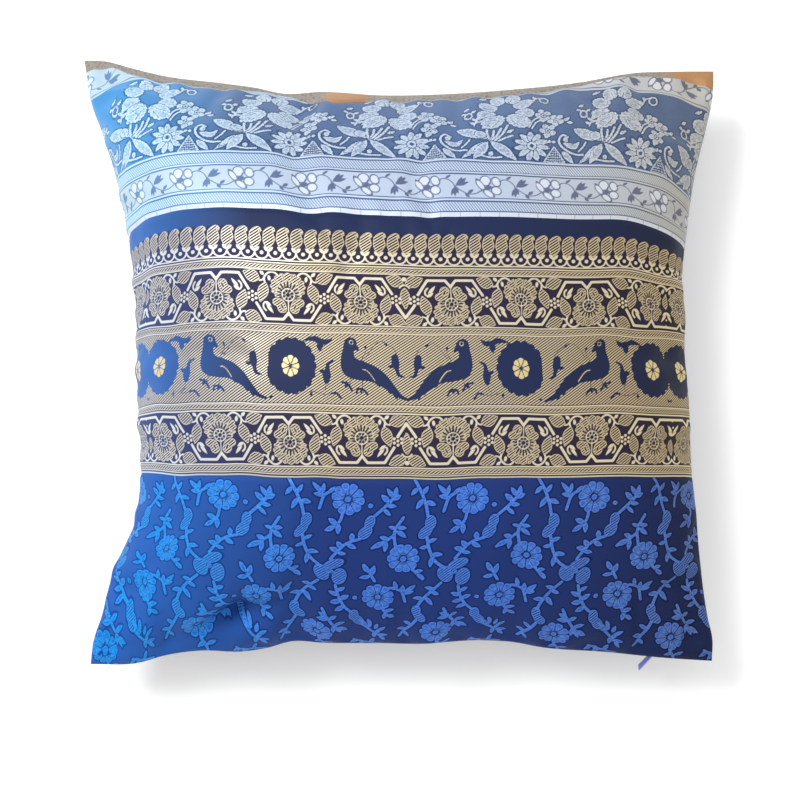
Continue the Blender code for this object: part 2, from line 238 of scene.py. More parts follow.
# %% The front, the seams' level and the back
def fold_depth(across, up):
    """How far the folds and gathers push the cloth in, at places on the flat cloth."""
    depth = 0
    for fold_across, fold_up, heading, half_length, half_width, fold in FOLDS:
        turn = math.radians(heading)
        along = (across - fold_across) * math.cos(turn) + (up - fold_up) * math.sin(turn)
        aside = (up - fold_up) * math.cos(turn) - (across - fold_across) * math.sin(turn)
        depth = depth + fold * np.exp(-((along / half_length) ** 2) - (aside / half_width) ** 2)
    for along, inward in ((across, CLOTH / 2 - abs(up)), (up, CLOTH / 2 - abs(across))):
        beat = GATHERS * math.pi * along / CLOTH
        wave = np.sin(2 * beat + 1.1) + 0.7 * np.sin(3.3 * beat + np.sign(inward) + 0.4)
        reach = inward / GATHER_REACH
        depth = depth + GATHER_HEIGHT * wave * GATHER_RISE * reach * np.exp(-GATHER_FALL * reach)
    edge = np.minimum(CLOTH / 2 - abs(up), CLOTH / 2 - abs(across))
    return depth * np.clip(edge / FOLD_FADE, 0, 1)


def halves(across, up):
    """The smooth front, the level of the seams and the back at the crossings of two lists."""
    share_across, share_up = landing(across / (CLOTH / 2), up / (CLOTH / 2))
    place = plan(share_across, share_up)
    middle = SEAM_HEIGHT - CORNER_DROOP * (share_across * share_up) ** 4
    full = swell_across(share_across) * swell_up(share_up)
    front = np.concatenate([place, (middle + SEAM_CLOTH + FRONT_RISE * full)[..., None]], axis=-1)
    fallen = np.maximum(middle - SEAM_CLOTH - BACK_FALL * full, 0)
    back = np.concatenate([place, fallen[..., None]], axis=-1)
    level = np.concatenate([place, middle[..., None]], axis=-1)
    return front, level, back


def folded_front(across, up):
    """The front pushed in by its folds, along normals read from its close neighbours."""
    centre, level, _ = halves(across, up)
    limit = CLOTH / 2
    right, _, _ = halves(np.clip(across + CLOSE_BY, -limit, limit), up)
    left, _, _ = halves(np.clip(across - CLOSE_BY, -limit, limit), up)
    above, _, _ = halves(across, np.clip(up + CLOSE_BY, -limit, limit))
    below, _, _ = halves(across, np.clip(up - CLOSE_BY, -limit, limit))
    normal = np.cross(right - left, above - below)
    normal /= np.maximum(np.linalg.norm(normal, axis=-1, keepdims=True), 1e-9)
    depth = fold_depth(*np.meshgrid(across, up))
    return centre - normal * depth[..., None], level


corner_test, _ = folded_front(np.array([-200.0, 0.0, 200.0]), np.array([-200.0, 0.0, 200.0]))
print("crown of the front at", corner_test[1, 1].round(1), "mm")

# %% [markdown]
# ## Letting the cloth settle
#
# The folds of a real cover come from the filling pushing cloth that is a little too roomy against
# seams that hold it. So a coarse copy of the whole cover, pinned at its seams, is cut roomier and
# blown up as a cloth simulation. The photo gives the broad form, so only the folds are kept from
# it: how far each place moved, less the broad part of that movement.

# %% The coarse cover
SETTLE_STEP = 5.0
SETTLE_COUNT = int(CLOTH / SETTLE_STEP) + 1
SETTLE_MOST = 3.0
SETTLE_EASE = 0.02
SETTLE_FRAMES = 18
SMOOTHINGS = 16


def coarse_cover():
    """One closed cover of front and back grids that share their rim."""
    line = np.linspace(-CLOTH / 2, CLOTH / 2, SETTLE_COUNT)
    front, level = folded_front(line, line)
    _, _, back = halves(line, line)
    number = np.arange(SETTLE_COUNT**2).reshape(SETTLE_COUNT, SETTLE_COUNT)
    rim = np.ones((SETTLE_COUNT, SETTLE_COUNT), bool)
    rim[1:-1, 1:-1] = False
    front[rim] = level[rim]
    behind = number + SETTLE_COUNT**2
    behind[rim] = number[rim]
    quads = []
    for grid, order in ((number, 1), (behind, -1)):
        corners = (grid[:-1, :-1], grid[:-1, 1:], grid[1:, 1:], grid[1:, :-1])[::order]
        quads.extend(np.stack(corners, axis=-1).reshape(-1, 4).tolist())
    start = np.concatenate([front.reshape(-1, 3), back.reshape(-1, 3)])
    mesh = bpy.data.meshes.new("coarse_cover")
    mesh.from_pydata((start * MM).tolist(), [], quads)
    cover = bpy.data.objects.new("coarse_cover", mesh)
    bpy.context.collection.objects.link(cover)
    seam = cover.vertex_groups.new(name="seam")
    seam.add(number[rim].tolist(), 1.0, "REPLACE")
    return cover, start, rim


def broad(grid):
    """A grid with its folds smoothed away, so that only its broad part is left."""
    for _ in range(SMOOTHINGS):
        padded = np.pad(grid, ((1, 1), (1, 1), (0, 0)), mode="edge")
        beside = padded[1:-1, :-2] + padded[1:-1, 2:] + padded[:-2, 1:-1] + padded[2:, 1:-1]
        grid = (grid + beside) / 5
    return grid


# %% Blow it up
def settle():
    """How far each place of the front and of the back moves, on two coarse grids."""
    cover, start, rim = coarse_cover()
    cloth = cover.modifiers.new("cloth", "CLOTH")
    cloth.settings.quality = 6
    cloth.settings.mass = 0.2
    cloth.settings.tension_stiffness = 20
    cloth.settings.compression_stiffness = 12
    cloth.settings.shear_stiffness = 6
    cloth.settings.bending_stiffness = 0.4
    cloth.settings.vertex_group_mass = "seam"
    cloth.settings.shrink_min = -SETTLE_EASE
    cloth.settings.use_pressure = True
    cloth.settings.uniform_pressure_force = 4
    cloth.settings.effector_weights.gravity = 0
    scene = bpy.context.scene
    for frame_number in range(1, SETTLE_FRAMES + 1):
        scene.frame_set(frame_number)
    settled = cover.evaluated_get(bpy.context.evaluated_depsgraph_get())
    made = np.empty(len(settled.data.vertices) * 3, np.float32)
    settled.data.vertices.foreach_get("co", made)
    moved = (made.reshape(-1, 3) / MM - start).reshape(2, SETTLE_COUNT, SETTLE_COUNT, 3)
    folds = np.stack([grid - broad(grid) for grid in moved])
    far = np.linalg.norm(folds, axis=-1, keepdims=True)
    folds *= SETTLE_MOST * np.tanh(far / SETTLE_MOST) / np.maximum(far, 1e-6)
    folds[:, rim] = 0
    bpy.data.objects.remove(cover)
    scene.frame_set(1)
    mean, most = float(far.mean()), float(far.max())
    print("the folds move by", round(mean, 2), "mm on average, at most", round(most, 1))
    return folds


settled_front, settled_back = settle()


# %% Read the coarse grids smoothly
def shares_of_four(between):
    """How much each of four neighbours counts, at a share of the way between the middle two."""
    low = (1 - between) ** 3 / 6
    near = (3 * between**3 - 6 * between**2 + 4) / 6
    far = (3 * between + 3 * between**2 - 3 * between**3 + 1) / 6
    return low, near, far, between**3 / 6


def moved_by(grid, across, up):
    """A smooth reading of a coarse grid at places on the flat cloth."""
    last = len(grid) - 1
    column_place = (across + CLOTH / 2) / SETTLE_STEP
    row_place = (up + CLOTH / 2) / SETTLE_STEP
    column = np.clip(np.floor(column_place), 0, last - 1).astype(int)
    row = np.clip(np.floor(row_place), 0, last - 1).astype(int)
    total = np.zeros((*across.shape, 3))
    for row_step, row_share in enumerate(shares_of_four(row_place - row), start=-1):
        near_row = np.clip(row + row_step, 0, last)
        for column_step, column_share in enumerate(shares_of_four(column_place - column), start=-1):
            near_column = np.clip(column + column_step, 0, last)
            total += grid[near_row, near_column] * (row_share * column_share)[..., None]
    edge = np.minimum(CLOTH / 2 - abs(up), CLOTH / 2 - abs(across))
    return total * np.clip(edge / SETTLE_STEP, 0, 1)[..., None]


# %% [markdown]
# ## The woven rows
#
# The strips were cut and sewn by hand and then stuffed, so the rows of the weave wander a few
# millimetres from straight. One table holds how far, and every pattern and every seam between
# two strips follows it. `woven_row` turns a place on the cloth into the row that runs there.

# %% How far the rows wander
WANDER_ACROSS = (
    -200, -185, -170, -150, -130, -110, -90, -70, -50, -30, 0, 30, 60, 90, 120, 150, 170, 185, 200,
)

# For each row, measured from the top seam: how much lower it lies at each place across
WANDER = {
    0: (26, 18.5, 2.5, 0, 0, 0, 0, 0, 0, 0, 0, 0, 0, 0, 0.5, 10.5, 14, 20, 25),
    76: (9, 7.6, 6, 1, -2, -2.3, -2.3, -2.5, -1, 1.3, 0.4, 0.4, 1.5, 1.6, 2.8, 4, 6, 12, 18),
    117: (6, 4.4, 2.5, -1.5, -3.7, -4, -3.5, -3, -1.8, -0.2, 0, 0, -0.5, -1.7, -1.5, -1.8, 1, 4.5, 7),
    149: (2.5, 2.1, 1.5, -1.7, -2.7, -3.2, -2.7, -1.7, -0.8, 0.5, 0.2, 0.8, 1, -0.9, -0.4, -2.2, -1, -0.6, 0),
    187: (2.2, 1.3, 0.5, -0.3, -1.4, -1.5, -1.7, -1.2, 0.2, 0.5, 0, 0.5, 1.5, 0.5, -0.2, 0, -1.6, -1.8, -1.8),
    234: (3.6, 3.2, 2.6, 0.1, -0.4, 0, -0.9, -1.2, 0.5, 0.8, 0, 1, 2, 1.1, 1.4, 2, 1.8, 1.5, 1.5),
    274: (2.3, 1.9, 1.3, 0.2, 0.3, 0.3, -1.2, -0.7, 1.2, 1, 0.4, 1.7, 3.2, 1.9, 3, 3.8, 3.8, 3.8, 3.8),
    325: (-1.5, -2.2, -3, -4, -4, -3.2, -2, 0.5, 0.6, 0.3, 0.8, 0.5, 3, 2.6, 2.6, 5.6, 4, 3, 3),
    352: (-5, -8, -11, -8, -5, -2.5, -1.5, 0.5, 0, -1, -0.8, 0.8, 3, 1.8, 0.6, 1, 0.8, 1, 1),
    383: (12, 10, 3, -2.5, -4.6, -2, 0.5, 3, 3.6, 2, -0.5, -0.5, 1.5, 3.5, 3.5, 3.3, 3, 2, 2),
    400: (6, 4, 2, 0, 0, 0, 0, 0, 0, 0, 0, 0, 0, 0, 0, 0, 0, 0, 0),
}


def wander(across, row):
    """How much lower than straight a row lies, at places across."""
    keys = list(WANDER)
    total = 0
    for index, key in enumerate(keys):
        line = curve_through(list(zip(WANDER_ACROSS, WANDER[key])), across)
        total = total + line * np.interp(row, keys, np.eye(len(keys))[index])
    return total


def woven_row(across, from_top):
    """The row of the weave that runs at each place on the cloth."""
    row = from_top
    for _ in range(3):
        row = from_top - wander(across, row)
    return row


# The cloth is pulled sideways too, as it goes over the filling. Places across first, then how
# far each band of motifs lies to the right of where an even pull would put it.
PULL_ACROSS = (-170, -130, -110, -90, -50, -30, 0, 30, 60, 90, 120, 150, 170)
PULL = {
    "vine": (-4, -4, -3, -1.8, -0.4, 0, 0, -0.5, -0.6, -0.6, 0.5, 1.2, 1.5),
    "paisleys": (-5.5, -3.4, -1.8, -0.7, 0, 0, 0.2, 0.4, 0.6, 0.7, 1.7, 2.9, 3.4),
    "upper flowers": (-0.6, -0.8, -0.5, 0.2, 0, 0, -0.3, 0.8, 0.6, -0.3, -0.3, 1.5, 0.8),
    "birds": (1, 2, 2.4, 2.5, 2, 2.1, 1, 0, 0.3, -0.6, 0, 1.2, 1.2),
    "lower flowers": (-1, -0.3, -0.3, -0.3, -1.1, -0.8, -0.3, 1.1, 1.4, 1.2, 2, 2.8, 2.8),
    "brocade": (-1, -1.7, -1.2, -1.1, 0.5, 0.4, 0, 0.5, 0, 1.2, 2.3, 3.5, 3.6),
}


def pulled(across, band):
    """Where on an evenly pulled cloth a place across a band would be."""
    return across - np.interp(across, PULL_ACROSS, PULL[band])


print("the silver strip's lower seam at the left:", round(float(117 + wander(-110.0, 117.0)), 1), "mm")


# %% [markdown]
# ## Cloth pieces
#
# Each strip is one closed, padded body: a fine grid laid on the filled form, whose rim drops to
# the level of the seams and is filled underneath. A grid is used instead of a subdivided box
# because its points keep their places on the flat cloth, which is what the weave needs.

# %% Lay a strip on the form
STEP_UP = 0.8


def laid_cloth(across, from_top):
    """Places, and the seams' level below them, for a grid of places on the flat cloth."""
    up_most = CLOTH / 2 - from_top.min()
    up_least = CLOTH / 2 - from_top.max()
    count = int((up_most - up_least) / STEP_UP) + 2
    up = np.clip(np.linspace(up_least, up_most, count), -CLOTH / 2, CLOTH / 2)
    tall, level = folded_front(across, up)
    places = np.empty((*from_top.shape, 3))
    below = np.empty((*from_top.shape, 3))
    for column in range(len(across)):
        wanted = CLOTH / 2 - from_top[:, column]
        for axis in range(3):
            places[:, column, axis] = np.interp(wanted, up, tall[:, column, axis])
            below[:, column, axis] = np.interp(wanted, up, level[:, column, axis])
    below[..., 2] += GAP / 2
    across_grid = np.broadcast_to(across, from_top.shape)
    places += moved_by(settled_front, across_grid, CLOTH / 2 - from_top)
    return places, below


def pushed_in(places, depth):
    """Move a grid of places inwards along its own normals."""
    normal = np.cross(np.gradient(places, axis=1), np.gradient(places, axis=0))
    normal /= np.maximum(np.linalg.norm(normal, axis=-1, keepdims=True), 1e-9)
    return places - normal * depth[..., None]


# %% Make a closed body from a laid grid
def cloth_body(name, places, below):
    """A closed body with this grid on top. Returns it and the grid's row and column by vertex."""
    rows, columns = places.shape[0] - 1, places.shape[1] - 1
    bpy.ops.object.select_all(action="DESELECT")
    bpy.ops.mesh.primitive_grid_add(x_subdivisions=columns, y_subdivisions=rows, size=2)
    body = bpy.context.active_object
    body.name = body.data.name = name
    mesh = body.data
    flat = np.empty(len(mesh.vertices) * 3, np.float32)
    mesh.vertices.foreach_get("co", flat)
    column = np.rint((flat[0::3] + 1) / 2 * columns).astype(int)
    row = np.rint((flat[1::3] + 1) / 2 * rows).astype(int)
    mesh.vertices.foreach_set("co", (places[row, column] * MM).astype(np.float32).ravel())

    bpy.ops.object.mode_set(mode="EDIT")
    bpy.ops.mesh.select_mode(type="EDGE")
    bpy.ops.mesh.select_all(action="DESELECT")
    bpy.ops.mesh.select_non_manifold()
    bpy.ops.mesh.extrude_edges_move()
    bpy.ops.mesh.edge_face_add()
    bpy.ops.mesh.quads_convert_to_tris(ngon_method="BEAUTY")
    bpy.ops.object.mode_set(mode="OBJECT")
    row, column = drop_rim(mesh, row, column, below)
    return body, row, column


def drop_rim(mesh, row, column, below):
    """Lower the extruded rim, and the underside that fills it, to the level of the seams."""
    top_count = len(row)
    total = len(mesh.vertices)
    row = np.concatenate([row, np.zeros(total - top_count, int)])
    column = np.concatenate([column, np.zeros(total - top_count, int)])
    points = np.empty(total * 3, np.float32)
    mesh.vertices.foreach_get("co", points)
    points = points.reshape(-1, 3)
    ends = np.empty(len(mesh.edges) * 2, np.int32)
    mesh.edges.foreach_get("vertices", ends)
    ends = np.sort(ends.reshape(-1, 2), axis=1)
    walls = ends[(ends[:, 0] < top_count) & (ends[:, 1] >= top_count)]
    row[walls[:, 1]] = row[walls[:, 0]]
    column[walls[:, 1]] = column[walls[:, 0]]
    points[walls[:, 1]] = below[row[walls[:, 1]], column[walls[:, 1]]] * MM
    mesh.vertices.foreach_set("co", points.ravel())
    mesh.update()
    return row, column


def close_neatly(body):
    """Turn every face outwards and shade it smooth, with the rim kept crisp."""
    bpy.ops.object.select_all(action="DESELECT")
    body.select_set(True)
    bpy.context.view_layer.objects.active = body
    bpy.ops.object.mode_set(mode="EDIT")
    bpy.ops.mesh.select_all(action="SELECT")
    bpy.ops.mesh.normals_make_consistent(inside=False)
    bpy.ops.object.mode_set(mode="OBJECT")
    bpy.ops.object.shade_smooth_by_angle(angle=math.radians(60))


def keep_amounts(body, name, amounts, row, column):
    """Store a grid of numbers on the body's points, for its material to read."""
    attribute = body.data.attributes.new(name, "FLOAT", "POINT")
    attribute.data.foreach_set("value", amounts[row, column].astype(np.float32))


# %% [markdown]
# ## Charts for the weave
#
# A weaver draws a motif once on a chart and the loom repeats it. These charts do the same in
# code: each shape says how far inside it a point lies, in millimetres, and the material draws a
# crisp edge where that amount passes zero. No picture is used.

# %% A chart and its shapes
UNDRAWN = -4.0
FAR = 99.0


def beside(x, y, start, stop):
    """The share of a straight piece that each point lies beside, and how far away it is."""
    run_x, run_y = stop - start
    share = ((x - start[0]) * run_x + (y - start[1]) * run_y) / max(run_x**2 + run_y**2, 1e-9)
    share = np.clip(share, 0, 1)
    return share, np.hypot(x - start[0] - share * run_x, y - start[1] - share * run_y)


class Chart:
    """Layers over the same points. Each keeps how far inside its shapes a point lies."""

    def __init__(self, x, y, layers):
        self.x, self.y = x, y
        self.layers = {layer: np.full(x.shape, UNDRAWN) for layer in layers}

    def near(self, low, high, margin=2.5):
        """The points in a box, or just outside it."""
        inside = (self.x > low[0] - margin) & (self.x < high[0] + margin)
        return np.nonzero(inside & (self.y > low[1] - margin) & (self.y < high[1] + margin))

    def around(self, place, across, down):
        """The points near a place, within these half sizes."""
        low = (place[0] - across, place[1] - down)
        high = (place[0] + across, place[1] + down)
        return self.near(low, high)

    def draw(self, layer, shape, moat=0.0):
        """Add a shape, first clearing a narrow moat round it where others lie beneath."""
        where, inside = shape
        kept = self.layers[layer]
        if moat:
            kept[where] = np.minimum(kept[where], -inside - moat)
        kept[where] = np.maximum(kept[where], inside)

    def clear(self, layer, shape):
        """Cut a shape out of a layer."""
        where, inside = shape
        self.layers[layer][where] = np.minimum(self.layers[layer][where], -inside)

    def oval(self, place, size, heading=0.0, frills=0):
        """An oval, its edge cut into small frills where a number of them is given."""
        reach = max(size) / 2
        where = self.around(place, reach, reach)
        turn = math.radians(heading)
        x, y = self.x[where] - place[0], self.y[where] - place[1]
        along = (x * math.cos(turn) + y * math.sin(turn)) / (size[0] / 2)
        aside = (y * math.cos(turn) - x * math.sin(turn)) / (size[1] / 2)
        edge = 0.9 + 0.1 * abs(np.cos(frills / 2 * np.arctan2(aside, along))) if frills else 1
        return where, (edge - np.hypot(along, aside)) * min(size) / 2

    def leaf(self, base, tip, width, belly=0.85):
        """A leaf with two pointed ends, widest nearer its base where belly is below one."""
        low = (min(base[0], tip[0]) - width / 2, min(base[1], tip[1]) - width / 2)
        high = (max(base[0], tip[0]) + width / 2, max(base[1], tip[1]) + width / 2)
        where = self.near(low, high)
        length = math.hypot(tip[0] - base[0], tip[1] - base[1])
        ahead = ((tip[0] - base[0]) / length, (tip[1] - base[1]) / length)
        x, y = self.x[where] - base[0], self.y[where] - base[1]
        along = (x * ahead[0] + y * ahead[1]) / length
        aside = abs(y * ahead[0] - x * ahead[1])
        beyond = np.maximum(np.maximum(-along, along - 1), 0) * length
        half = width / 2 * np.sin(math.pi * np.clip(along, 0, 1) ** belly)
        return where, (half - aside) * 0.9 - beyond

    def stroke(self, points, width, smooth=True):
        """A line of even width through some points."""
        line = smooth_line(points) if smooth and len(points) > 2 else np.array(points, float)
        where = self.near(line.min(axis=0) - width, line.max(axis=0) + width)
        return where, width / 2 - self.distance(where, line)

    def brush(self, rows):
        """A brush stroke through rows of (across, down, width)."""
        rows = np.array(rows, float)
        line = smooth_line(rows[:, :2])
        places = np.linspace(0, len(rows) - 1, len(line))
        half = np.interp(places, np.arange(len(rows)), rows[:, 2] / 2)
        where = self.near(line.min(axis=0) - half.max(), line.max(axis=0) + half.max())
        x, y = self.x[where], self.y[where]
        inside = np.full(x.shape, -FAR)
        for start, stop, first, last in zip(line[:-1], line[1:], half[:-1], half[1:]):
            share, away = beside(x, y, start, stop)
            inside = np.maximum(inside, first + (last - first) * share - away)
        return where, inside

    def distance(self, where, line):
        """How far points lie from a line."""
        x, y = self.x[where], self.y[where]
        nearest = np.full(x.shape, FAR)
        for start, stop in zip(line[:-1], line[1:]):
            _, away = beside(x, y, start, stop)
            nearest = np.minimum(nearest, away)
        return nearest

    def corners(self, points):
        """A closed shape with straight sides between its corners."""
        line = np.array([*points, points[0]], float)
        where = self.near(line.min(axis=0), line.max(axis=0))
        x, y = self.x[where], self.y[where]
        inside = np.zeros(x.shape, bool)
        for (x0, y0), (x1, y1) in zip(line[:-1], line[1:]):
            if y0 != y1:
                inside ^= ((y0 > y) != (y1 > y)) & (x < (x1 - x0) * (y - y0) / (y1 - y0) + x0)
        distance = self.distance(where, line)
        return where, np.where(inside, distance, -distance)

    def ring(self, place, radius, width, stretch=1.0):
        """A ring of even width, taller than wide where its stretch is above one."""
        reach = radius * max(stretch, 1) + width
        where = self.around(place, reach, reach)
        away = np.hypot(self.x[where] - place[0], (self.y[where] - place[1]) / stretch)
        return where, width / 2 - abs(away - radius)


def smooth_line(points, steps=5):
    """The same line with its corners rounded, still through every point."""
    points = np.array(points, float)
    ends = np.vstack([2 * points[0] - points[1], points, 2 * points[-1] - points[-2]])
    made = []
    for before, start, stop, after in zip(ends[:-3], ends[1:-2], ends[2:-1], ends[3:]):
        for share in np.arange(steps) / steps:
            bend = 2 * start + (stop - before) * share
            bend = bend + (2 * before - 5 * start + 4 * stop - after) * share**2
            made.append((bend + (3 * start - before - 3 * stop + after) * share**3) / 2)
    return np.array([*made, points[-1]])


trial = Chart(np.zeros((1, 1)), np.zeros((1, 1)), ("dot",))
trial.draw("dot", trial.oval((0, 0), (4, 4)))
print("the middle of a dot 4 mm wide is", trial.layers["dot"][0, 0], "mm inside it")

# %% [markdown]
# ### The gold border
#
# Two flower bands frame a band of peacocks, under a row of paisleys on scallops. All of it is a
# mirror image about a line near the middle, and again near the sides. `folded` gives a point's
# distance from the mirror lines, so each motif is drawn once.

# %% Where the border's mirror lines are
MIRROR_ACROSS = 3.5
MIRROR_ROW = 168
MIRROR_TILT = 0.033
SIDE_STRETCH = 9e-7
FAR_MIRROR = 164.7


def border_across(across, row):
    """Across the border from its mirror line, with the cloth's stretch at the sides taken out."""
    aside = across - MIRROR_ACROSS + (row - MIRROR_ROW) * MIRROR_TILT
    return aside - SIDE_STRETCH * aside**3


def folded(aside):
    """The distance from the nearest mirror line, counted from the middle one."""
    return FAR_MIRROR - abs(FAR_MIRROR - abs(aside))


# %% [markdown]
# In a flower band each flower sits in a zigzag frame of solid gold, and its petals are hatched
# with slanted gold lines. Petals modelled as meshes would be thousands, so one cell is charted in
# two layers, hatched and solid, and every cell of both bands reads that same chart.

# %% The flower that fills one cell of a flower band
CELL_START = 5.1
CELL = 41.8
UPPER_MIDDLE = 169.1
LOWER_MIDDLE = 251.8
FLOWER_HALF = 15.2
BEADS = 20.9


def flower_cell(chart):
    """One flower in its frame, its notch at the top, drawn for x from its middle outwards."""
    chart.draw("hatch", chart.oval((0, -6.2), (21.0, 17.0), frills=16))
    for start, stop in (
        ((9.8, -4.5), (7.4, -3.9)), ((7.7, -10.4), (6.0, -8.6)), ((3.0, -13.6), (2.4, -11.0)),
    ):
        chart.clear("hatch", chart.stroke([start, stop], 0.5))
    for start, stop, width in (
        ((0, -5.6), (0, -9.2), 1.0), ((1.3, -5.6), (2.1, -8.6), 0.9), ((2.5, -5.0), (4.2, -7.6), 1.0),
        ((3.4, -3.9), (5.6, -5.4), 1.0), ((4.1, -2.6), (6.0, -3.2), 0.9), ((4.2, -1.2), (6.4, -1.1), 0.9),
        ((4.0, 0.1), (5.6, 0.5), 0.8),
    ):
        chart.clear("hatch", chart.stroke([start, stop], width))
    chart.clear("hatch", chart.oval((0, -1.6), (7.8, 7.8)))
    chart.draw("hatch", chart.brush([(3.6, 6.4, 5.6), (4.6, 3.8, 5.4), (7.0, 2.8, 4.6)]), moat=0.5)
    chart.clear("hatch", chart.stroke([(3.2, 6.4), (4.2, 4.4)], 0.9))
    chart.draw("hatch", chart.leaf((12.9, -8.6), (16.6, 3.8), 6.6), moat=0.5)
    chart.draw("hatch", chart.leaf((16.2, -9.8), (26.6, -14.0), 7.4), moat=0.5)
    chart.draw("hatch", chart.leaf((CELL - 16.2, 9.8), (CELL - 26.6, 14.0), 7.4), moat=0.5)


def flower_gold(chart):
    """The solid gold of a cell: its frame, the flower's eye, the beads, the bud and the stem."""
    frame_line = [(0, 8.9), (3.0, 12.8), (13.1, 12.8), (19.1, 3.2)]
    chart.draw("gold", chart.stroke(frame_line, 1.55, smooth=False))
    chart.draw("gold", chart.stroke([(0, 9.0), (0, 2.0)], 0.7))
    chart.draw("gold", chart.ring((0, -1.6), 3.6, 0.7))
    chart.draw("gold", chart.ring((0, -1.6), 1.4, 0.4))
    for angle in range(-90, 91, 45):
        ray = (math.cos(math.radians(angle)), math.sin(math.radians(angle)))
        spoke = [(ray[0] * 1.5, -1.6 + ray[1] * 1.5), (ray[0] * 3.4, -1.6 + ray[1] * 3.4)]
        chart.draw("gold", chart.stroke(spoke, 0.5))
    chart.clear("gold", chart.oval((BEADS, 0), (7.8, 7.8)))
    for turn in range(6):
        angle = math.radians(30 + turn * 60)
        bead = (BEADS + 2.45 * math.cos(angle), 2.45 * math.sin(angle))
        chart.draw("gold", chart.oval(bead, (1.75, 1.75)))
    chart.draw("gold", chart.oval((BEADS, 0), (1.7, 1.7)))
    chart.draw("gold", chart.leaf((13.2, 3.8), (8.5, 9.8), 1.9), moat=0.3)
    chart.draw("gold", chart.stroke([(13.6, 3.1), (14.6, 4.6), (14.3, 6.6), (13.0, 8.1)], 1.0))
    chart.draw("gold", chart.leaf((13.8, 2.7), (9.8, 5.4), 1.9), moat=0.3)
    stem = [
        (13.3, -8.3), (13.8, -10.4), (13.1, -12.2), (11.2, -14.0), (9.0, -14.6), (7.1, -13.9),
        (5.9, -12.8),
    ]
    chart.draw("gold", chart.stroke(stem, 1.1))
    chart.draw("gold", chart.stroke([(13.8, -10.9), (15.0, -9.6), (16.6, -9.2)], 0.9))
    chart.draw("gold", chart.oval((10.8, -10.9), (1.8, 3.2), 8))
    chart.draw("gold", chart.leaf((13.8, -12.6), (16.4, -15.0), 2.0))


def axis_motif(chart):
    """What stands on the mirror line between two flowers: a pendant leaf in a V."""
    chart.draw("hatch", chart.leaf((0, 8.0), (0, -6.0), 5.6, belly=0.75), moat=0.5)
    chart.clear("hatch", chart.oval((0, -7.0), (6.0, 4.4)))
    chart.draw("gold", chart.stroke([(0, -10.2), (4.6, -3.4)], 1.6))
    chart.draw("gold", chart.oval((0, 12.9), (2.8, 2.6)))
    chart.draw("gold", chart.stroke([(0, 9.4), (1.6, 8.9), (2.8, 7.6)], 0.9))


print("a flower's cell is", CELL, "mm wide")

# %% [markdown]
# The peacock band is the other way round: its ground is hatched gold, and the birds, buds and
# rosettes are navy where the gold is left out. Each is a few brush strokes that widen and narrow
# on their way, because a stroke gives a soft, drawn shape from a handful of numbers.

# %% The peacock band
# Brush strokes of the band. Columns: across, row, width.
PEACOCK = [
    (-1.0, 228.0, 1.4), (4.0, 226.0, 2.4), (9.2, 221.4, 4.8), (14.8, 216.2, 7.6), (21.0, 212.6, 9.6),
    (27.4, 211.0, 11.4), (32.8, 209.2, 12.0), (35.0, 204.6, 8.2), (34.8, 199.4, 6.4),
    (33.6, 195.4, 7.6),
]
HANGING_BUD = [
    (1.6, 214.4, 0.8), (4.8, 213.2, 2.0), (5.8, 210.0, 2.2), (6.6, 206.6, 4.8), (7.0, 203.0, 4.2),
]
STANDING_BUD = [
    (43.6, 205.4, 1.0), (46.4, 207.0, 1.8), (46.9, 210.0, 2.4), (47.4, 214.0, 4.8), (47.5, 217.6, 3.0),
]
FLYING_LEAF = [
    (44.4, 192.2, 0.8), (47.0, 194.2, 2.8), (50.6, 194.2, 3.6), (54.8, 192.4, 3.2), (60.6, 193.4, 0.8),
]
BAND_UNIT = 83.7
BIRD_START = 2
BIRD_MIDDLE = 210.2
BIRD_HALF = 20.6

# The rosette between two peacocks, and its gold heart: half sizes across and down
SUN = (68.3, 208.8)
SUN_SIZE = (15.2, 17.0)
SUN_FRILLS = 18
HEART_SIZE = (5.2, 6.4)
HEART_PETALS = 8


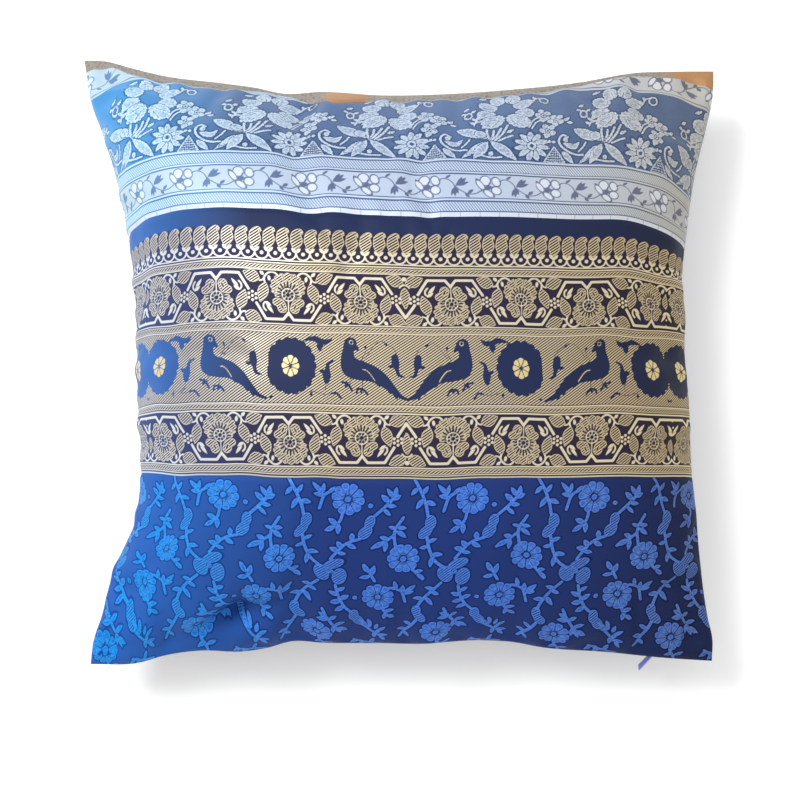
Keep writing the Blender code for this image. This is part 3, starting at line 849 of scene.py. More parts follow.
def peacock_band(chart):
    """One peacock with its buds, its vine and its rosette, in navy on the hatched gold."""
    for rows in (PEACOCK, HANGING_BUD, STANDING_BUD, FLYING_LEAF):
        chart.draw("navy", chart.brush(rows))
    for foot in (
        [(38.9, 217.7), (36.9, 218.4), (34.8, 219.6), (33.2, 222.6)],
        [(30.4, 223.8), (29.8, 222.0), (27.8, 221.5), (25.8, 222.4), (24.0, 224.7)],
        [(44.8, 224.6), (42.2, 224.3), (39.6, 227.1)],
    ):
        chart.draw("navy", chart.stroke(foot, 1.3))
    for base, tip, width in (
        ((35.4, 219.4), (37.4, 221.2), 1.8), ((36.4, 219.2), (35.8, 217.2), 1.4),
        ((27.4, 221.8), (27.8, 224.4), 1.6), ((56.6, 223.6), (56.6, 227.2), 1.6),
        ((24.9, 195.9), (24.2, 199.0), 1.4), ((81.2, 227.9), (78.6, 226.5), 1.4),
        ((13.4, 194.2), (11.2, 196.2), 1.5), ((31.6, 196.4), (28.5, 199.4), 2.8),
        ((8.4, 221.6), (6.1, 228.0), 2.6), ((11.2, 219.4), (9.9, 225.0), 2.8),
        ((14.2, 217.6), (12.8, 221.8), 3.0), ((17.8, 215.6), (16.4, 220.4), 3.6),
        ((7.2, 208.2), (11.6, 208.2), 2.2), ((48.2, 212.4), (51.9, 211.0), 2.4),
        ((51.0, 193.8), (51.4, 200.0), 3.8),
    ):
        chart.draw("navy", chart.leaf(base, tip, width))
    for vine in (
        [(14.6, 193.4), (11.6, 195.4), (9.0, 196.7), (7.1, 198.5), (5.8, 201.0)],
        [(24.2, 199.0), (25.3, 201.8), (26.8, 204.0), (25.6, 205.6)],
        [(14.6, 193.4), (17.6, 194.4), (20.4, 197.4), (22.6, 200.6), (25.0, 203.8)],
        [(57.8, 221.8), (55.6, 223.4), (52.8, 224.5), (49.1, 225.3), (44.6, 224.8)],
        [(47.9, 219.4), (48.6, 222.4), (51.1, 224.1)],
        [(26.7, 216.6), (26.8, 221.4)],
        [(33.2, 215.4), (34.6, 219.4)],
    ):
        chart.draw("navy", chart.stroke(vine, 0.45))
    sun(chart)
    chart.draw("gold", chart.ring((33.1, 194.5), 1.15, 0.55))
    wing = [(26.5, 210.2), (24.6, 210.6), (22.5, 212.2), (20.9, 214.3), (19.3, 216.7)]
    chart.draw("gold", chart.stroke(wing, 0.65))


def sun(chart):
    """A great navy rosette with a gold flower for its heart."""
    where = chart.around(SUN, *SUN_SIZE)
    x, y = chart.x[where] - SUN[0], chart.y[where] - SUN[1]
    angle = np.arctan2(y / SUN_SIZE[1], x / SUN_SIZE[0])
    away = np.hypot(x / SUN_SIZE[0], y / SUN_SIZE[1])
    rim = 0.92 + 0.08 * abs(np.cos(SUN_FRILLS / 2 * angle)) ** 0.7
    chart.draw("navy", (where, (rim - away) * SUN_SIZE[0]))
    heart = np.hypot(x / HEART_SIZE[0], y / HEART_SIZE[1])
    petals = (0.90 + 0.10 * abs(np.cos(HEART_PETALS / 2 * angle)) - heart) * HEART_SIZE[0]
    turn = 2 * math.pi / HEART_PETALS
    from_gap = abs((angle / turn) % 1.0 - 0.5) * turn * heart * HEART_SIZE[0]
    petals = np.minimum(petals, np.minimum(from_gap - 0.26, (heart - 0.14) * HEART_SIZE[0]))
    chart.draw("gold", (where, petals))


print("the peacocks repeat every", BAND_UNIT, "mm")

# %% [markdown]
# A row of small paisleys stands on scallops, like a fringe. One paisley is charted, and the
# remainder of the place across, divided by its width, brings it back all along the row.

# %% Paisleys over scallops, and the whole border
PAISLEY = 7.92
PAISLEY_START = 2.7
PAISLEY_END = 148

# Hatched bands of the border: from and to, in rows
GUARDS = ((150.1, 152.9), (185.4, 188.3), (189.7, 230.6), (232.1, 235.0), (268.3, 271.2))

# A paisley, from its foot to its hooked tip. Columns: across, row, width.
PAISLEY_BODY = [
    (-0.5, 138.6, 4.6), (-0.2, 135.6, 7.3), (-0.5, 132.6, 6.3), (0.2, 130.4, 3.8), (1.6, 129.3, 2.1),
    (2.9, 130.0, 1.3), (3.1, 131.2, 0.8),
]


def paisley_row(chart):
    """One paisley, leaning right with a hooked tip, over the scallops that meet below it."""
    chart.draw("hatch", chart.brush(PAISLEY_BODY))
    for tip in ((-3.2, 139.7), (2.5, 139.9)):
        chart.draw("gold", chart.leaf((-0.3, 142.8), tip, 1.9))
    chart.draw("gold", chart.stroke([(-0.3, 142.0), (-0.3, 143.9)], 1.0))
    for side in (-1, 1):
        chart.draw("gold", chart.oval((side * PAISLEY / 2 - 0.25, 143.5), (2.3, 2.3)))
        where, inside = chart.ring((side * PAISLEY / 2 - 0.25, 143.5), 3.75, 1.0, stretch=0.92)
        below = np.minimum(inside, chart.y[where] - 143.7)
        chart.draw("gold", (where, below))


def border_layers(across, row):
    """The border's layers at a grid of places: gold thread, hatched gold, and navy on top."""
    layers = {name: np.full(across.shape, UNDRAWN) for name in ("gold", "hatch", "navy")}

    def lay(chart, wanted):
        """Add a chart's layers where they are wanted."""
        for name, amount in chart.layers.items():
            layers[name] = np.where(wanted, np.maximum(layers[name], amount), layers[name])

    aside = border_across(pulled(across, "paisleys"), row)
    paisley = Chart((aside + PAISLEY_START) % PAISLEY - PAISLEY / 2, row, ("gold", "hatch"))
    paisley_row(paisley)
    lay(paisley, row < PAISLEY_END)
    for band_name, middle, start in (
        ("upper flowers", UPPER_MIDDLE, 1), ("lower flowers", LOWER_MIDDLE, -1),
    ):
        reach = folded(border_across(pulled(across, band_name), row))
        cell = np.maximum(np.floor((reach - CELL_START) / CELL), 0)
        from_flower = abs(reach - CELL_START - (cell + 0.5) * CELL)
        height = (middle - row) * start
        flower = Chart(from_flower, height * np.where(cell % 2 == 0, 1, -1), ("gold", "hatch"))
        flower_cell(flower)
        flower_gold(flower)
        axis_chart = Chart(reach, height, ("gold", "hatch"))
        axis_motif(axis_chart)
        band = abs(row - middle) < FLOWER_HALF
        lay(flower, band)
        lay(axis_chart, band & (reach < CELL_START + 1))
    reach = folded(border_across(pulled(across, "birds"), row))
    place = (reach + BIRD_START) % BAND_UNIT - BIRD_START
    birds = Chart(place, row, ("gold", "hatch", "navy"))
    peacock_band(birds)
    lay(birds, abs(row - BIRD_MIDDLE) < BIRD_HALF)
    for low, high in GUARDS:
        layers["hatch"] = np.maximum(layers["hatch"], np.minimum(row - low, high - row))
    return layers


print("the paisleys repeat every", PAISLEY, "mm")

# %% [markdown]
# ### The silver strip
#
# Bouquets in silver thread stand on blue satin, above a pale border with a drawn vine. The
# thread's petals are kept apart by narrow moats where the satin shows, as on the real cloth.

# %% The bouquet
# Where the bouquets stand: places across, and how many have gone by there
BOUQUET_ACROSS = (-200.0, -124.0, -48.0, 24.0, 96.0, 165.0, 203.0)
BOUQUET_COUNT = (-1.05, 0.0, 1.0, 2.0, 3.0, 4.0, 4.6)
BOUQUET = 72.0
BOUQUET_END = 75.2

# How far out a blossom's petals lie, as a share of its size, and how wide they overlap
PETAL_OUT = 0.60
PETAL_OVERLAP = 1.05


def blossom(chart, place, size, petals, turned=0.0, moat=0.5):
    """A flower seen from the front: oval petals about a dark eye with a pale rim."""
    width = 2 * math.pi * PETAL_OUT * min(size) / petals * PETAL_OVERLAP
    for petal in range(petals):
        angle = math.radians(turned + 360 * petal / petals)
        out = (size[0] * PETAL_OUT * math.cos(angle), size[1] * PETAL_OUT * math.sin(angle))
        middle = (place[0] + out[0], place[1] + out[1])
        shape = chart.oval(middle, (min(size) * 0.84, width), math.degrees(angle))
        chart.draw("pale", shape, moat=moat)
    chart.draw("pale", chart.oval(place, (size[0] * 0.52, size[1] * 0.52)), moat=moat)
    chart.clear("pale", chart.oval(place, (size[0] * 0.24, size[1] * 0.24)))


# The large flower's petals, those behind first. Columns: across and down from its hollow, length,
# width, heading. The hollow is cut after the petals behind.
ROSE_PETALS = [
    (-11.5, 5.5, 12.5, 10.5, 160), (12.0, 5.5, 12.5, 10.5, 20), (-10.5, -4.5, 12.5, 10.5, 205),
    (10.8, -5.0, 12.5, 10.5, 335), (-4.4, -12.0, 12.0, 9.6, 248), (5.0, -12.2, 12.0, 9.6, 292),
    (-7.6, 13.0, 17.5, 12.5, 135), (8.0, 13.0, 17.5, 12.5, 45),
]
BEHIND = 6
ROSE = (42.0, 25.5)
HOLLOW = (9.0, 10.5)

# Cuts between the frills. Columns: across and down from the hollow.
ROSE_CUTS = [(-12.0, 12.4), (-8.0, 17.6), (8.0, 17.6), (12.4, 12.4), (-3.6, -16.0), (4.4, -16.0)]


def rose(chart):
    """The large flower: frilled petals round a dark hollow, and two wide ones in front."""
    for index, (across, down, length, width, heading) in enumerate(ROSE_PETALS):
        middle = (ROSE[0] + across, ROSE[1] + down)
        petal = chart.oval(middle, (length, width), heading, frills=14)
        chart.draw("pale", petal, moat=0.55)
        if index == BEHIND - 1:
            chart.clear("pale", chart.oval((ROSE[0], ROSE[1] + 0.5), HOLLOW))
    for across, down in ROSE_CUTS:
        start = (ROSE[0] + across * 0.45, ROSE[1] + 4 + down * 0.45)
        stop = (ROSE[0] + across, ROSE[1] + 2 + down * 0.92)
        chart.clear("pale", chart.stroke([start, stop], 0.5))


def bouquet(chart):
    """One bouquet with its sprays, its scroll leaf and its lattice triangle."""
    lattice_triangle(chart)
    scroll = [
        (8.6, 54.0), (5.6, 52.2), (3.2, 54.4), (2.6, 58.0), (4.4, 62.6), (8.6, 66.2), (13.4, 67.9),
        (18.0, 67.6),
    ]
    chart.draw("pale", chart.stroke(scroll, 1.5))
    chart.draw("pale", chart.oval((6.9, 56.2), (3.4, 3.8)))
    curled_leaf = [(5.6, 59.4, 1.0), (9.0, 61.0, 4.4), (12.4, 61.4, 4.4), (15.8, 57.6, 0.8)]
    chart.draw("pale", chart.brush(curled_leaf))
    chart.draw("pale", chart.stroke([(20.2, 57.6), (18.4, 61.2), (15.2, 65.2)], 1.2))
    chart.draw("pale", chart.leaf((4.0, 66.0), (11.8, 75.0), 4.4))
    chart.draw("pale", chart.leaf((12.4, 46.8), (31.0, 56.8), 8.2), moat=0.5)
    chart.draw("pale", chart.oval((26.6, 52.6), (7.0, 6.4), 40), moat=0.5)
    for tip, width in (((14.6, 75.2), 4.6), ((17.5, 72.0), 5.2), ((22.0, 75.0), 6.4)):
        chart.draw("pale", chart.leaf((30.8, 59.4), tip, width), moat=0.35)
    chart.draw("pale", chart.leaf((32.4, 58.6), (48.6, 75.2), 6.6), moat=0.5)
    chart.draw("pale", chart.stroke([(26.0, 71.2), (33.0, 72.6), (39.0, 72.4)], 1.4))
    chart.draw("pale", chart.oval((32.6, 69.4), (3.0, 3.6)))
    for points in (
        [(32, 57.6), (30.8, 52), (30.6, 46.8)],
        [(33, 57.4), (34.4, 52), (34.8, 47.8)],
        [(34.0, 57.0), (37.2, 51.4), (39.4, 45.6)],
        [(35.4, 57.8), (40.0, 51.6), (43.4, 43.2)],
        [(37.6, 58.2), (42.0, 55.6), (46.0, 53.6)],
    ):
        chart.draw("pale", chart.stroke(points, 1.5), moat=0.4)
    chart.draw("pale", chart.leaf((42.6, 50.8), (47.4, 47.2), 2.6), moat=0.3)
    rose(chart)
    blossom(chart, (57.4, 62.6), (10.6, 13.0), 11, 5)
    for place in ((65.6, 33.0), (73.4, 37.8), (68.0, 47.4)):
        blossom(chart, place, (5.3, 7.0), 5, 30, 0.45)
    small_sprays(chart)


LATTICE = 2.3


def lattice_triangle(chart):
    """A triangle of woven lattice with a plain edge."""
    where, inside = chart.corners([(-0.8, 61.4), (6.4, 75.0), (-8.0, 75.0)])
    x, y = chart.x[where], chart.y[where]
    beat = 2 * math.pi / LATTICE
    slope = 0.6
    holes = np.cos(beat * (x + y * slope)) * np.cos(beat * (x - y * slope)) * 0.8 - 0.1
    rim = 0.8 - inside
    chart.draw("pale", (where, np.minimum(inside, np.maximum(rim, holes))))


def small_sprays(chart):
    """The buds, tendrils and dots between one bouquet and the next."""
    for points in (
        [(56.4, 45.6), (59.0, 39.2), (62.8, 35.6)],
        [(58.0, 47.0), (60.6, 41.2), (63.6, 38.2)],
        [(64.4, 60.8), (66.6, 59.0), (68.2, 57.8)],
        [(23.0, 44.0), (24.0, 40.0), (25.4, 34.0)],
        [(58.8, 20.0), (61.6, 14.0), (65.0, 12.4)],
    ):
        chart.draw("pale", chart.stroke(points, 1.1))
    for base, tip in (
        ((23.6, 42.6), (20.0, 39.8)), ((24.0, 41.0), (27.6, 38.0)), ((24.4, 38.8), (21.6, 35.6)),
        ((24.8, 37.4), (27.4, 34.0)), ((7.6, 39.6), (10.2, 35.8)), ((8.2, 41.0), (12.6, 41.4)),
        ((59.6, 18.6), (56.4, 15.6)), ((61.0, 15.8), (60.0, 11.4)), ((26, 12.6), (31.6, 9.2)),
        ((16.4, 26.0), (20.2, 22.4)), ((21.4, 29.6), (24.0, 26.0)), ((14.6, 29.0), (18.0, 29.2)),
    ):
        chart.draw("pale", chart.leaf(base, tip, 2.3))
    for place in ((68.7, 57.4), (71.3, 57.6), (7.4, 38.4), (28.6, 45.6), (66.6, 53.4)):
        chart.draw("pale", chart.oval(place, (2.1, 2.6)))
    chart.draw("pale", chart.ring((19.4, 32.6), 2.2, 1.1, stretch=1.5))
    chart.draw("pale", chart.ring((66.4, 15.0), 2.6, 1.1, stretch=1.2))


print("the bouquets repeat about every", BOUQUET, "mm")

# %% [markdown]
# The strip's pale border looks drawn on: a dark line runs along a vine and round white petals. A
# line round a shape is the band where the distance to its edge is small, so the same ovals serve
# for the petals and for their lines.

# %% The drawn vine in the pale border
VINE = 36.0
VINE_START = 8
VINE_PLACE = 16.5
VINE_LINE = 0.36

# Where the vine is drawn, in rows: the strip's border, and its other border near the top seam,
# which shows at the two upper corners as a mirror image
VINE_ROWS = (87.4, 104.4)
TOP_VINE_END = 5
MIRRORED_ABOVE = 40
MIRRORED_SUM = 91


def border_vine(chart):
    """One flower and its stretch of vine, drawn in dark line on the pale ground."""
    for place, size, heading in (
        ((-2.0, 91.8), (7.4, 6.2), 80), ((4.4, 92.4), (7.2, 5.0), 70), ((4.4, 99.0), (6.2, 5.4), 40),
        ((-5.0, 95.0), (9.4, 3.4), 58), ((-0.2, 101.2), (7.8, 3.8), 42),
    ):
        where, inside = chart.oval(place, size, heading)
        chart.clear("ink", (where, inside))
        chart.draw("petal", (where, inside))
        chart.draw("ink", (where, VINE_LINE - abs(inside)))
    chart.draw("ink", chart.oval((-0.4, 97.0), (3.2, 4.4), 60))
    chart.draw("ink", chart.stroke([(-0.4, 96.4), (0.6, 93.2)], 0.9))
    chart.draw("ink", chart.stroke([(0.2, 97.0), (3.0, 96.2)], 0.9))
    for points in (
        [(6.4, 92.2), (9, 90.8), (12.5, 91.8), (15, 94.6), (16, 97.6)],
        [(16, 96.4), (19, 99), (23.5, 101.6), (28, 101.4), (31.4, 99.2)],
    ):
        chart.draw("ink", chart.stroke(points, 0.75))
    for base, tip, width in (
        ((15.6, 97.0), (13.6, 103.2), 1.9), ((15.7, 97.0), (15.9, 103.8), 1.9),
        ((15.9, 97.0), (18.0, 101.8), 1.9), ((16.4, 96.0), (22.8, 90.0), 3.2),
        ((17.4, 95.8), (24.4, 92.8), 2.4), ((17.4, 95.4), (20.4, 89.2), 2.2),
        ((23.6, 101.2), (26.8, 98.2), 2.2), ((21.8, 101.4), (24.6, 104.2), 1.9),
        ((10.4, 90.6), (13.8, 87.8), 1.7),
    ):
        chart.draw("ink", chart.leaf(base, tip, width))


def silver_layers(across, row):
    """The silver strip's layers: pale thread on satin, dark line and white petals on the border."""
    count = np.interp(across, BOUQUET_ACROSS, BOUQUET_COUNT)
    layers = {name: np.full(across.shape, UNDRAWN) for name in ("pale", "ink", "petal")}
    for shift in (-BOUQUET, 0, BOUQUET):
        flowers = Chart((count % 1.0) * BOUQUET + shift, row, ("pale",))
        bouquet(flowers)
        layers["pale"] = np.maximum(layers["pale"], flowers.layers["pale"])
    layers["pale"] = np.where(row < BOUQUET_END, layers["pale"], UNDRAWN)
    inside = (row < TOP_VINE_END) | ((row > VINE_ROWS[0]) & (row < VINE_ROWS[1]))
    mirrored = np.where(row < MIRRORED_ABOVE, MIRRORED_SUM - row, row)
    for shift in (0, VINE):
        place = (pulled(across, "vine") + VINE_PLACE + VINE_START) % VINE - VINE_START + shift
        vine = Chart(place, mirrored, ("ink", "petal"))
        border_vine(vine)
        for name in ("ink", "petal"):
            drawn = np.where(inside, vine.layers[name], UNDRAWN)
            layers[name] = np.maximum(layers[name], drawn)
    return layers


print("the drawn vine repeats every", VINE, "mm")

# %% [markdown]
# ### The blue brocade
#
# Two vines cross in a cluster of pods, with daisies and leafy sprays between them. A unit is
# 74.5 mm wide, and shapes that cross its edge are drawn again one unit to the side.

# %% The brocade's shapes
BROCADE = 74.5
BROCADE_START = 36

# At the lower left corner the cloth is drawn in from the side: by how much at most, at which
# place across and row, and how far off it fades
DRAWN_IN = 14
DRAWN_PLACE = (-196, 388)
DRAWN_REACH = (30, 26)

# The rows over which the sideways pull fades out
PULL_END = 340
PULL_FADE = 60

DAISY_PETALS = 10

# Columns: across and down to the middle of a daisy, its radius, and how far it is turned
DAISIES = [(38.5, 286.6, 10.2, 8), (1.5, 323.6, 9.8, 0), (-13.5, 352.4, 10.0, 20), (21.5, 381.0, 10.0, 5)]

# Columns: across and down to the middle of a pod, its length and width, and its heading
PODS = [
    (14.6, 300.4, 9.5, 6.6, 80), (12.6, 306.4, 9.6, 6.8, 125), (-21.6, 300.8, 8.6, 6.2, 95),
    (-23.2, 307.4, 9.6, 7.4, 125), (9.6, 363.6, 8.4, 5.6, 100), (11.6, 368.4, 8.8, 6.2, 45),
    (45.6, 366.6, 9.0, 6.0, 100), (48.2, 371.8, 9.8, 6.4, 60),
]

# The lobes of the cluster where two vines cross, in the same columns. Each is set apart.
LOBES = [
    (34.6, 329.0, 13.0, 6.4, -22), (27.2, 335.4, 12.0, 8.6, 62), (38.0, 338.0, 12.0, 8.8, 105),
    (32.8, 334.4, 3.4, 3.0, 0),
]

# Stems, each a line through places across and down
STEMS = [
    [(3.6, 273), (7.6, 281), (10.6, 289), (12.4, 296.4)],
    [(14.2, 310), (16.6, 318), (20.6, 326), (26.4, 331)],
    [(-6.4, 283), (-11.6, 289), (-19.6, 297)],
    [(-25.6, 311.6), (-33, 314.6), (-38, 320), (-42, 325.6)],
    [(25.0, 341.4), (18.0, 348), (13.0, 355), (10.0, 361)],
    [(9.6, 371.4), (6.4, 377), (1.6, 384), (-1.4, 390)],
    [(35.4, 344.6), (37.0, 353), (40.0, 359.6), (44.2, 364)],
    [(50.4, 375.6), (55.0, 380), (60.4, 385.6)],
    [(28.8, 282), (24.0, 285.4), (21.4, 293.6)],
    [(35.6, 296.6), (34.6, 301), (31.4, 305)],
    [(-3.6, 316.4), (-5.6, 306), (-2.0, 297.4)],
    [(-6.0, 309), (-12.0, 314), (-17.6, 317.4)],
    [(7.6, 331), (11.0, 335), (13.6, 338)],
    [(-15.0, 340.4), (-18.0, 335), (-21.4, 329)],
    [(-6.0, 345), (0.6, 348.4), (3.0, 357)],
    [(-11.0, 361), (-8.6, 366), (-5.4, 369)],
    [(26.4, 361), (29.4, 367.6), (33.0, 374), (38.6, 380)],
    [(22.0, 391), (24.6, 396), (26.0, 402)],
    [(-30, 392), (-22, 396), (-12, 398)],
]

# Leaves. Columns: across and down at the base, across and down at the tip, width
LEAVES = [
    (8.6, 283, 12.4, 277.6, 2.6), (6.2, 279, 1.6, 284, 2.6), (9.0, 285.6, 4.8, 292.4, 3.0),
    (10.8, 287, 17.0, 289.8, 3.0), (15.0, 313, 20.6, 310.8, 2.8), (15.6, 316, 10.2, 316.6, 2.6),
    (18.0, 321, 25.4, 322.2, 3.0), (18.6, 322.6, 17.8, 330.4, 3.0), (-8.6, 285.6, -12.8, 279.4, 2.8),
    (-7.6, 285, -6.6, 278.6, 2.8), (-11.0, 288.4, -16.4, 283.4, 3.4), (-9.2, 286.6, -3.8, 283.8, 3.0),
    (-12.6, 290.4, -6.4, 290.6, 2.6), (-14.6, 292.4, -9.4, 296.8, 2.4), (-30.0, 312.8, -31.2, 307.6, 3.4),
    (-33.0, 315.4, -26.6, 318, 3.0), (-35.6, 318, -39.4, 313.2, 3.2), (-37.6, 319.8, -43.6, 317.8, 3.2),
    (-38.4, 321, -32.4, 322, 2.6), (20.6, 345.4, 14.8, 343.8, 2.8), (18.8, 347, 24.0, 350, 2.8),
    (14.4, 352.8, 7.4, 354, 3.0), (15.4, 351.4, 20.0, 358.2, 3.2), (6.6, 376.6, 1.4, 374, 3.0),
    (3.4, 381.6, -3.0, 381, 3.0), (1.4, 384, 5.0, 389.4, 2.8), (36.4, 349, 41.6, 345.8, 2.8),
    (36.8, 352.6, 30.6, 348.8, 3.0), (37.6, 355, 43.8, 351.6, 3.2), (38.0, 356.4, 31.2, 356.6, 3.4),
    (40.0, 360, 33.8, 362.6, 3.2), (53.6, 378.6, 55.8, 373.4, 2.6), (57.6, 382.6, 57.2, 389.6, 2.8),
    (58.6, 383.4, 61.8, 378.2, 2.8), (59.6, 384.6, 66.4, 384.4, 3.2), (60.6, 385.6, 64.4, 391, 2.8),
    (24.4, 285.4, 17.6, 283.6, 2.8), (23.4, 283.8, 17.4, 276.4, 2.8), (23.2, 283.8, 24.6, 276.8, 2.4),
    (26.6, 283.8, 31.0, 279, 2.4), (33.6, 302.6, 27.2, 299.4, 3.2), (32.6, 304, 26.6, 307.8, 3.4),
    (34.4, 302, 35.4, 309.4, 3.2), (50.4, 290.8, 54.0, 290.2, 3.0), (-4.8, 304.6, -10.4, 303, 2.2),
    (-4.4, 303.6, 1.4, 304, 2.6), (-4.6, 305.6, 2.2, 310, 2.8), (-8.6, 311.4, -14.4, 309.6, 2.8),
    (-10.2, 312.8, -18.8, 317.8, 3.4), (-9.4, 312.6, -10.0, 320, 3.0), (8.8, 332.4, 14.0, 331.6, 2.8),
    (10.2, 334.2, 15.2, 338.2, 3.0), (-18.6, 334.6, -22.8, 327.8, 3.4), (-17.2, 336.6, -15.2, 328.6, 3.4),
    (-17.6, 337.2, -24.6, 338.4, 3.0), (-2.0, 346.8, -3.4, 339.4, 2.8), (1.4, 349.8, 2.0, 343, 3.0),
    (2.6, 350.6, 9.8, 342.6, 3.2), (2.8, 351, 8.8, 348, 2.4), (-10.0, 363.4, -3.4, 362.4, 2.8),
    (-9.4, 364.8, -10.6, 369.8, 2.8), (-8.4, 366.4, -3.4, 369.2, 2.8), (-28.4, 352, -26.6, 354.6, 3.2),
    (30.0, 368.6, 22.2, 368.6, 3.2), (29.4, 367.2, 23.6, 363.8, 2.8), (30.4, 368.4, 35.4, 366.4, 2.8),
    (33.0, 373.4, 40.4, 372, 2.8), (34.6, 376, 41.6, 380.6, 3.2), (32.6, 373.6, 32.0, 380.4, 2.8),
    (33.6, 375.4, 37.2, 382.4, 2.4), (-20.4, 370.6, -18.0, 376.6, 2.6), (-22.6, 376.6, -17.8, 377, 2.8),
    (-26.6, 371, -20.6, 375.6, 2.2), (-16.4, 379.4, -14.0, 373.6, 2.4), (-15.0, 380.6, -9.0, 376.4, 2.4),
    (24.6, 393, 18.6, 396.4, 3.0), (25.0, 395, 31.4, 392.6, 3.0), (-20.0, 396.4, -17.0, 390.4, 2.8),
    (-24.0, 395, -27.0, 399.8, 2.8), (47.6, 392.4, 51.6, 398.4, 3.0), (46.8, 392.6, 41.6, 397.4, 3.0),
]


def daisy(chart, place, radius, turned):
    """Blunt petals, kept apart by dark gaps, each split at its root, round a button."""
    where = chart.around(place, radius, radius)
    x, y = chart.x[where] - place[0], chart.y[where] - place[1]
    away = np.hypot(x, y)
    turn = 2 * math.pi / DAISY_PETALS
    from_middle = abs(((np.arctan2(y, x) - math.radians(turned)) / turn + 0.5) % 1.0 - 0.5)
    tip = radius * (0.98 - 0.16 * (2 * from_middle) ** 3) - away
    gap = (0.5 - from_middle) * turn * away - 0.34
    split = from_middle * turn * away - 0.16 + np.maximum(away - radius * 0.62, 0)
    petals = np.minimum(np.minimum(tip, gap), np.minimum(split, away - radius * 0.26))
    return where, np.maximum(petals, radius * 0.17 - away)


def brocade_unit(chart, shift):
    """One repeat of the brocade, drawn some way to the side."""
    for across, down, radius, turned in DAISIES:
        chart.draw("motif", daisy(chart, (across + shift, down), radius, turned), moat=0.3)
    for stem in STEMS:
        chart.draw("motif", chart.stroke([(x + shift, y) for x, y in stem], 1.8))
    for x0, y0, x1, y1, width in LEAVES:
        chart.draw("motif", chart.leaf((x0 + shift, y0), (x1 + shift, y1), width), moat=0.3)
    for across, down, length, width, heading in PODS:
        chart.draw("pod", chart.oval((across + shift, down), (length, width), heading))
    for across, down, length, width, heading in LOBES:
        chart.draw("pod", chart.oval((across + shift, down), (length, width), heading), moat=0.5)


def brocade_layers(across, row):
    """The brocade's layers at a grid of places: the leafy vines with their daisies, and the pods."""
    aside = (across - DRAWN_PLACE[0]) / DRAWN_REACH[0]
    below = (row - DRAWN_PLACE[1]) / DRAWN_REACH[1]
    near_seam = np.clip((PULL_END - row) / PULL_FADE, 0, 1)
    place = across - DRAWN_IN * np.exp(-(aside**2) - below**2)
    place = place + (pulled(across, "brocade") - across) * near_seam
    chart = Chart((place + BROCADE_START) % BROCADE - BROCADE_START, row, ("motif", "pod"))
    for shift in (-BROCADE, 0, BROCADE):
        brocade_unit(chart, shift)
    return chart.layers


print("the brocade repeats every", BROCADE, "mm, with", len(LEAVES), "leaves")

# %% [markdown]
# ## Mixing a finish
#
# Each finish is a few sums over the amounts kept on the cloth. A small class wraps a node's
# output, so that the sums can be written as plain Python, and each sum adds its own Math node.

# %% A value that adds nodes as it is worked with
class Value:
    """One output of a node in a finish."""

    def __init__(self, finish, socket):
        self.finish = finish
        self.socket = socket

    def math(self, operation, *others, swap=False, clamp=False):
        """A Math node on this value and others."""
        terms = [self, *others]
        if swap:
            terms.reverse()
        settings = {"operation": operation, "use_clamp": clamp}
        return self.finish.node("ShaderNodeMath", settings, dict(enumerate(terms)))

    def __add__(self, other):
        return self.math("ADD", other)

    def __sub__(self, other):
        return self.math("SUBTRACT", other)

    def __rsub__(self, other):
        return self.math("SUBTRACT", other, swap=True)

    def __mul__(self, other):
        return self.math("MULTIPLY", other)

    def __truediv__(self, other):
        return self.math("DIVIDE", other)

    __radd__ = __add__
    __rmul__ = __mul__

    def __abs__(self):
        return self.math("ABSOLUTE")

    def ramp(self, gain, lift):
        """The value times a gain, plus a lift, held between 0 and 1."""
        return self.math("MULTIPLY_ADD", gain, lift, clamp=True)

    def wave(self):
        """A sine from 0 to 1 that repeats once for each whole number."""
        return (self * (2 * math.pi)).math("SINE") * 0.5 + 0.5

    def edge(self, soft=0.16):
        """0 where the amount is well below zero, 1 where it is well above."""
        return self.ramp(0.5 / soft, 0.5)

    def between(self, low, high, soft=0.12):
        """1 between two numbers and 0 outside them."""
        middle, half = (low + high) / 2, (high - low) / 2
        return (half - abs(self - middle)).edge(soft)

    def either(self, other):
        """The larger of two values."""
        return self.math("MAXIMUM", other)


# %% A finish and its nodes
def light(red, green, blue):
    """A screen colour, from 0 to 255 a channel, as the light that a shader needs."""
    channels = [value / 255 for value in (red, green, blue)]
    made = [c / 12.92 if c <= 0.04045 else ((c + 0.055) / 1.055) ** 2.4 for c in channels]
    return (*made, 1.0)


print("half a screen's white is", round(light(128, 128, 128)[0], 3), "of its light")


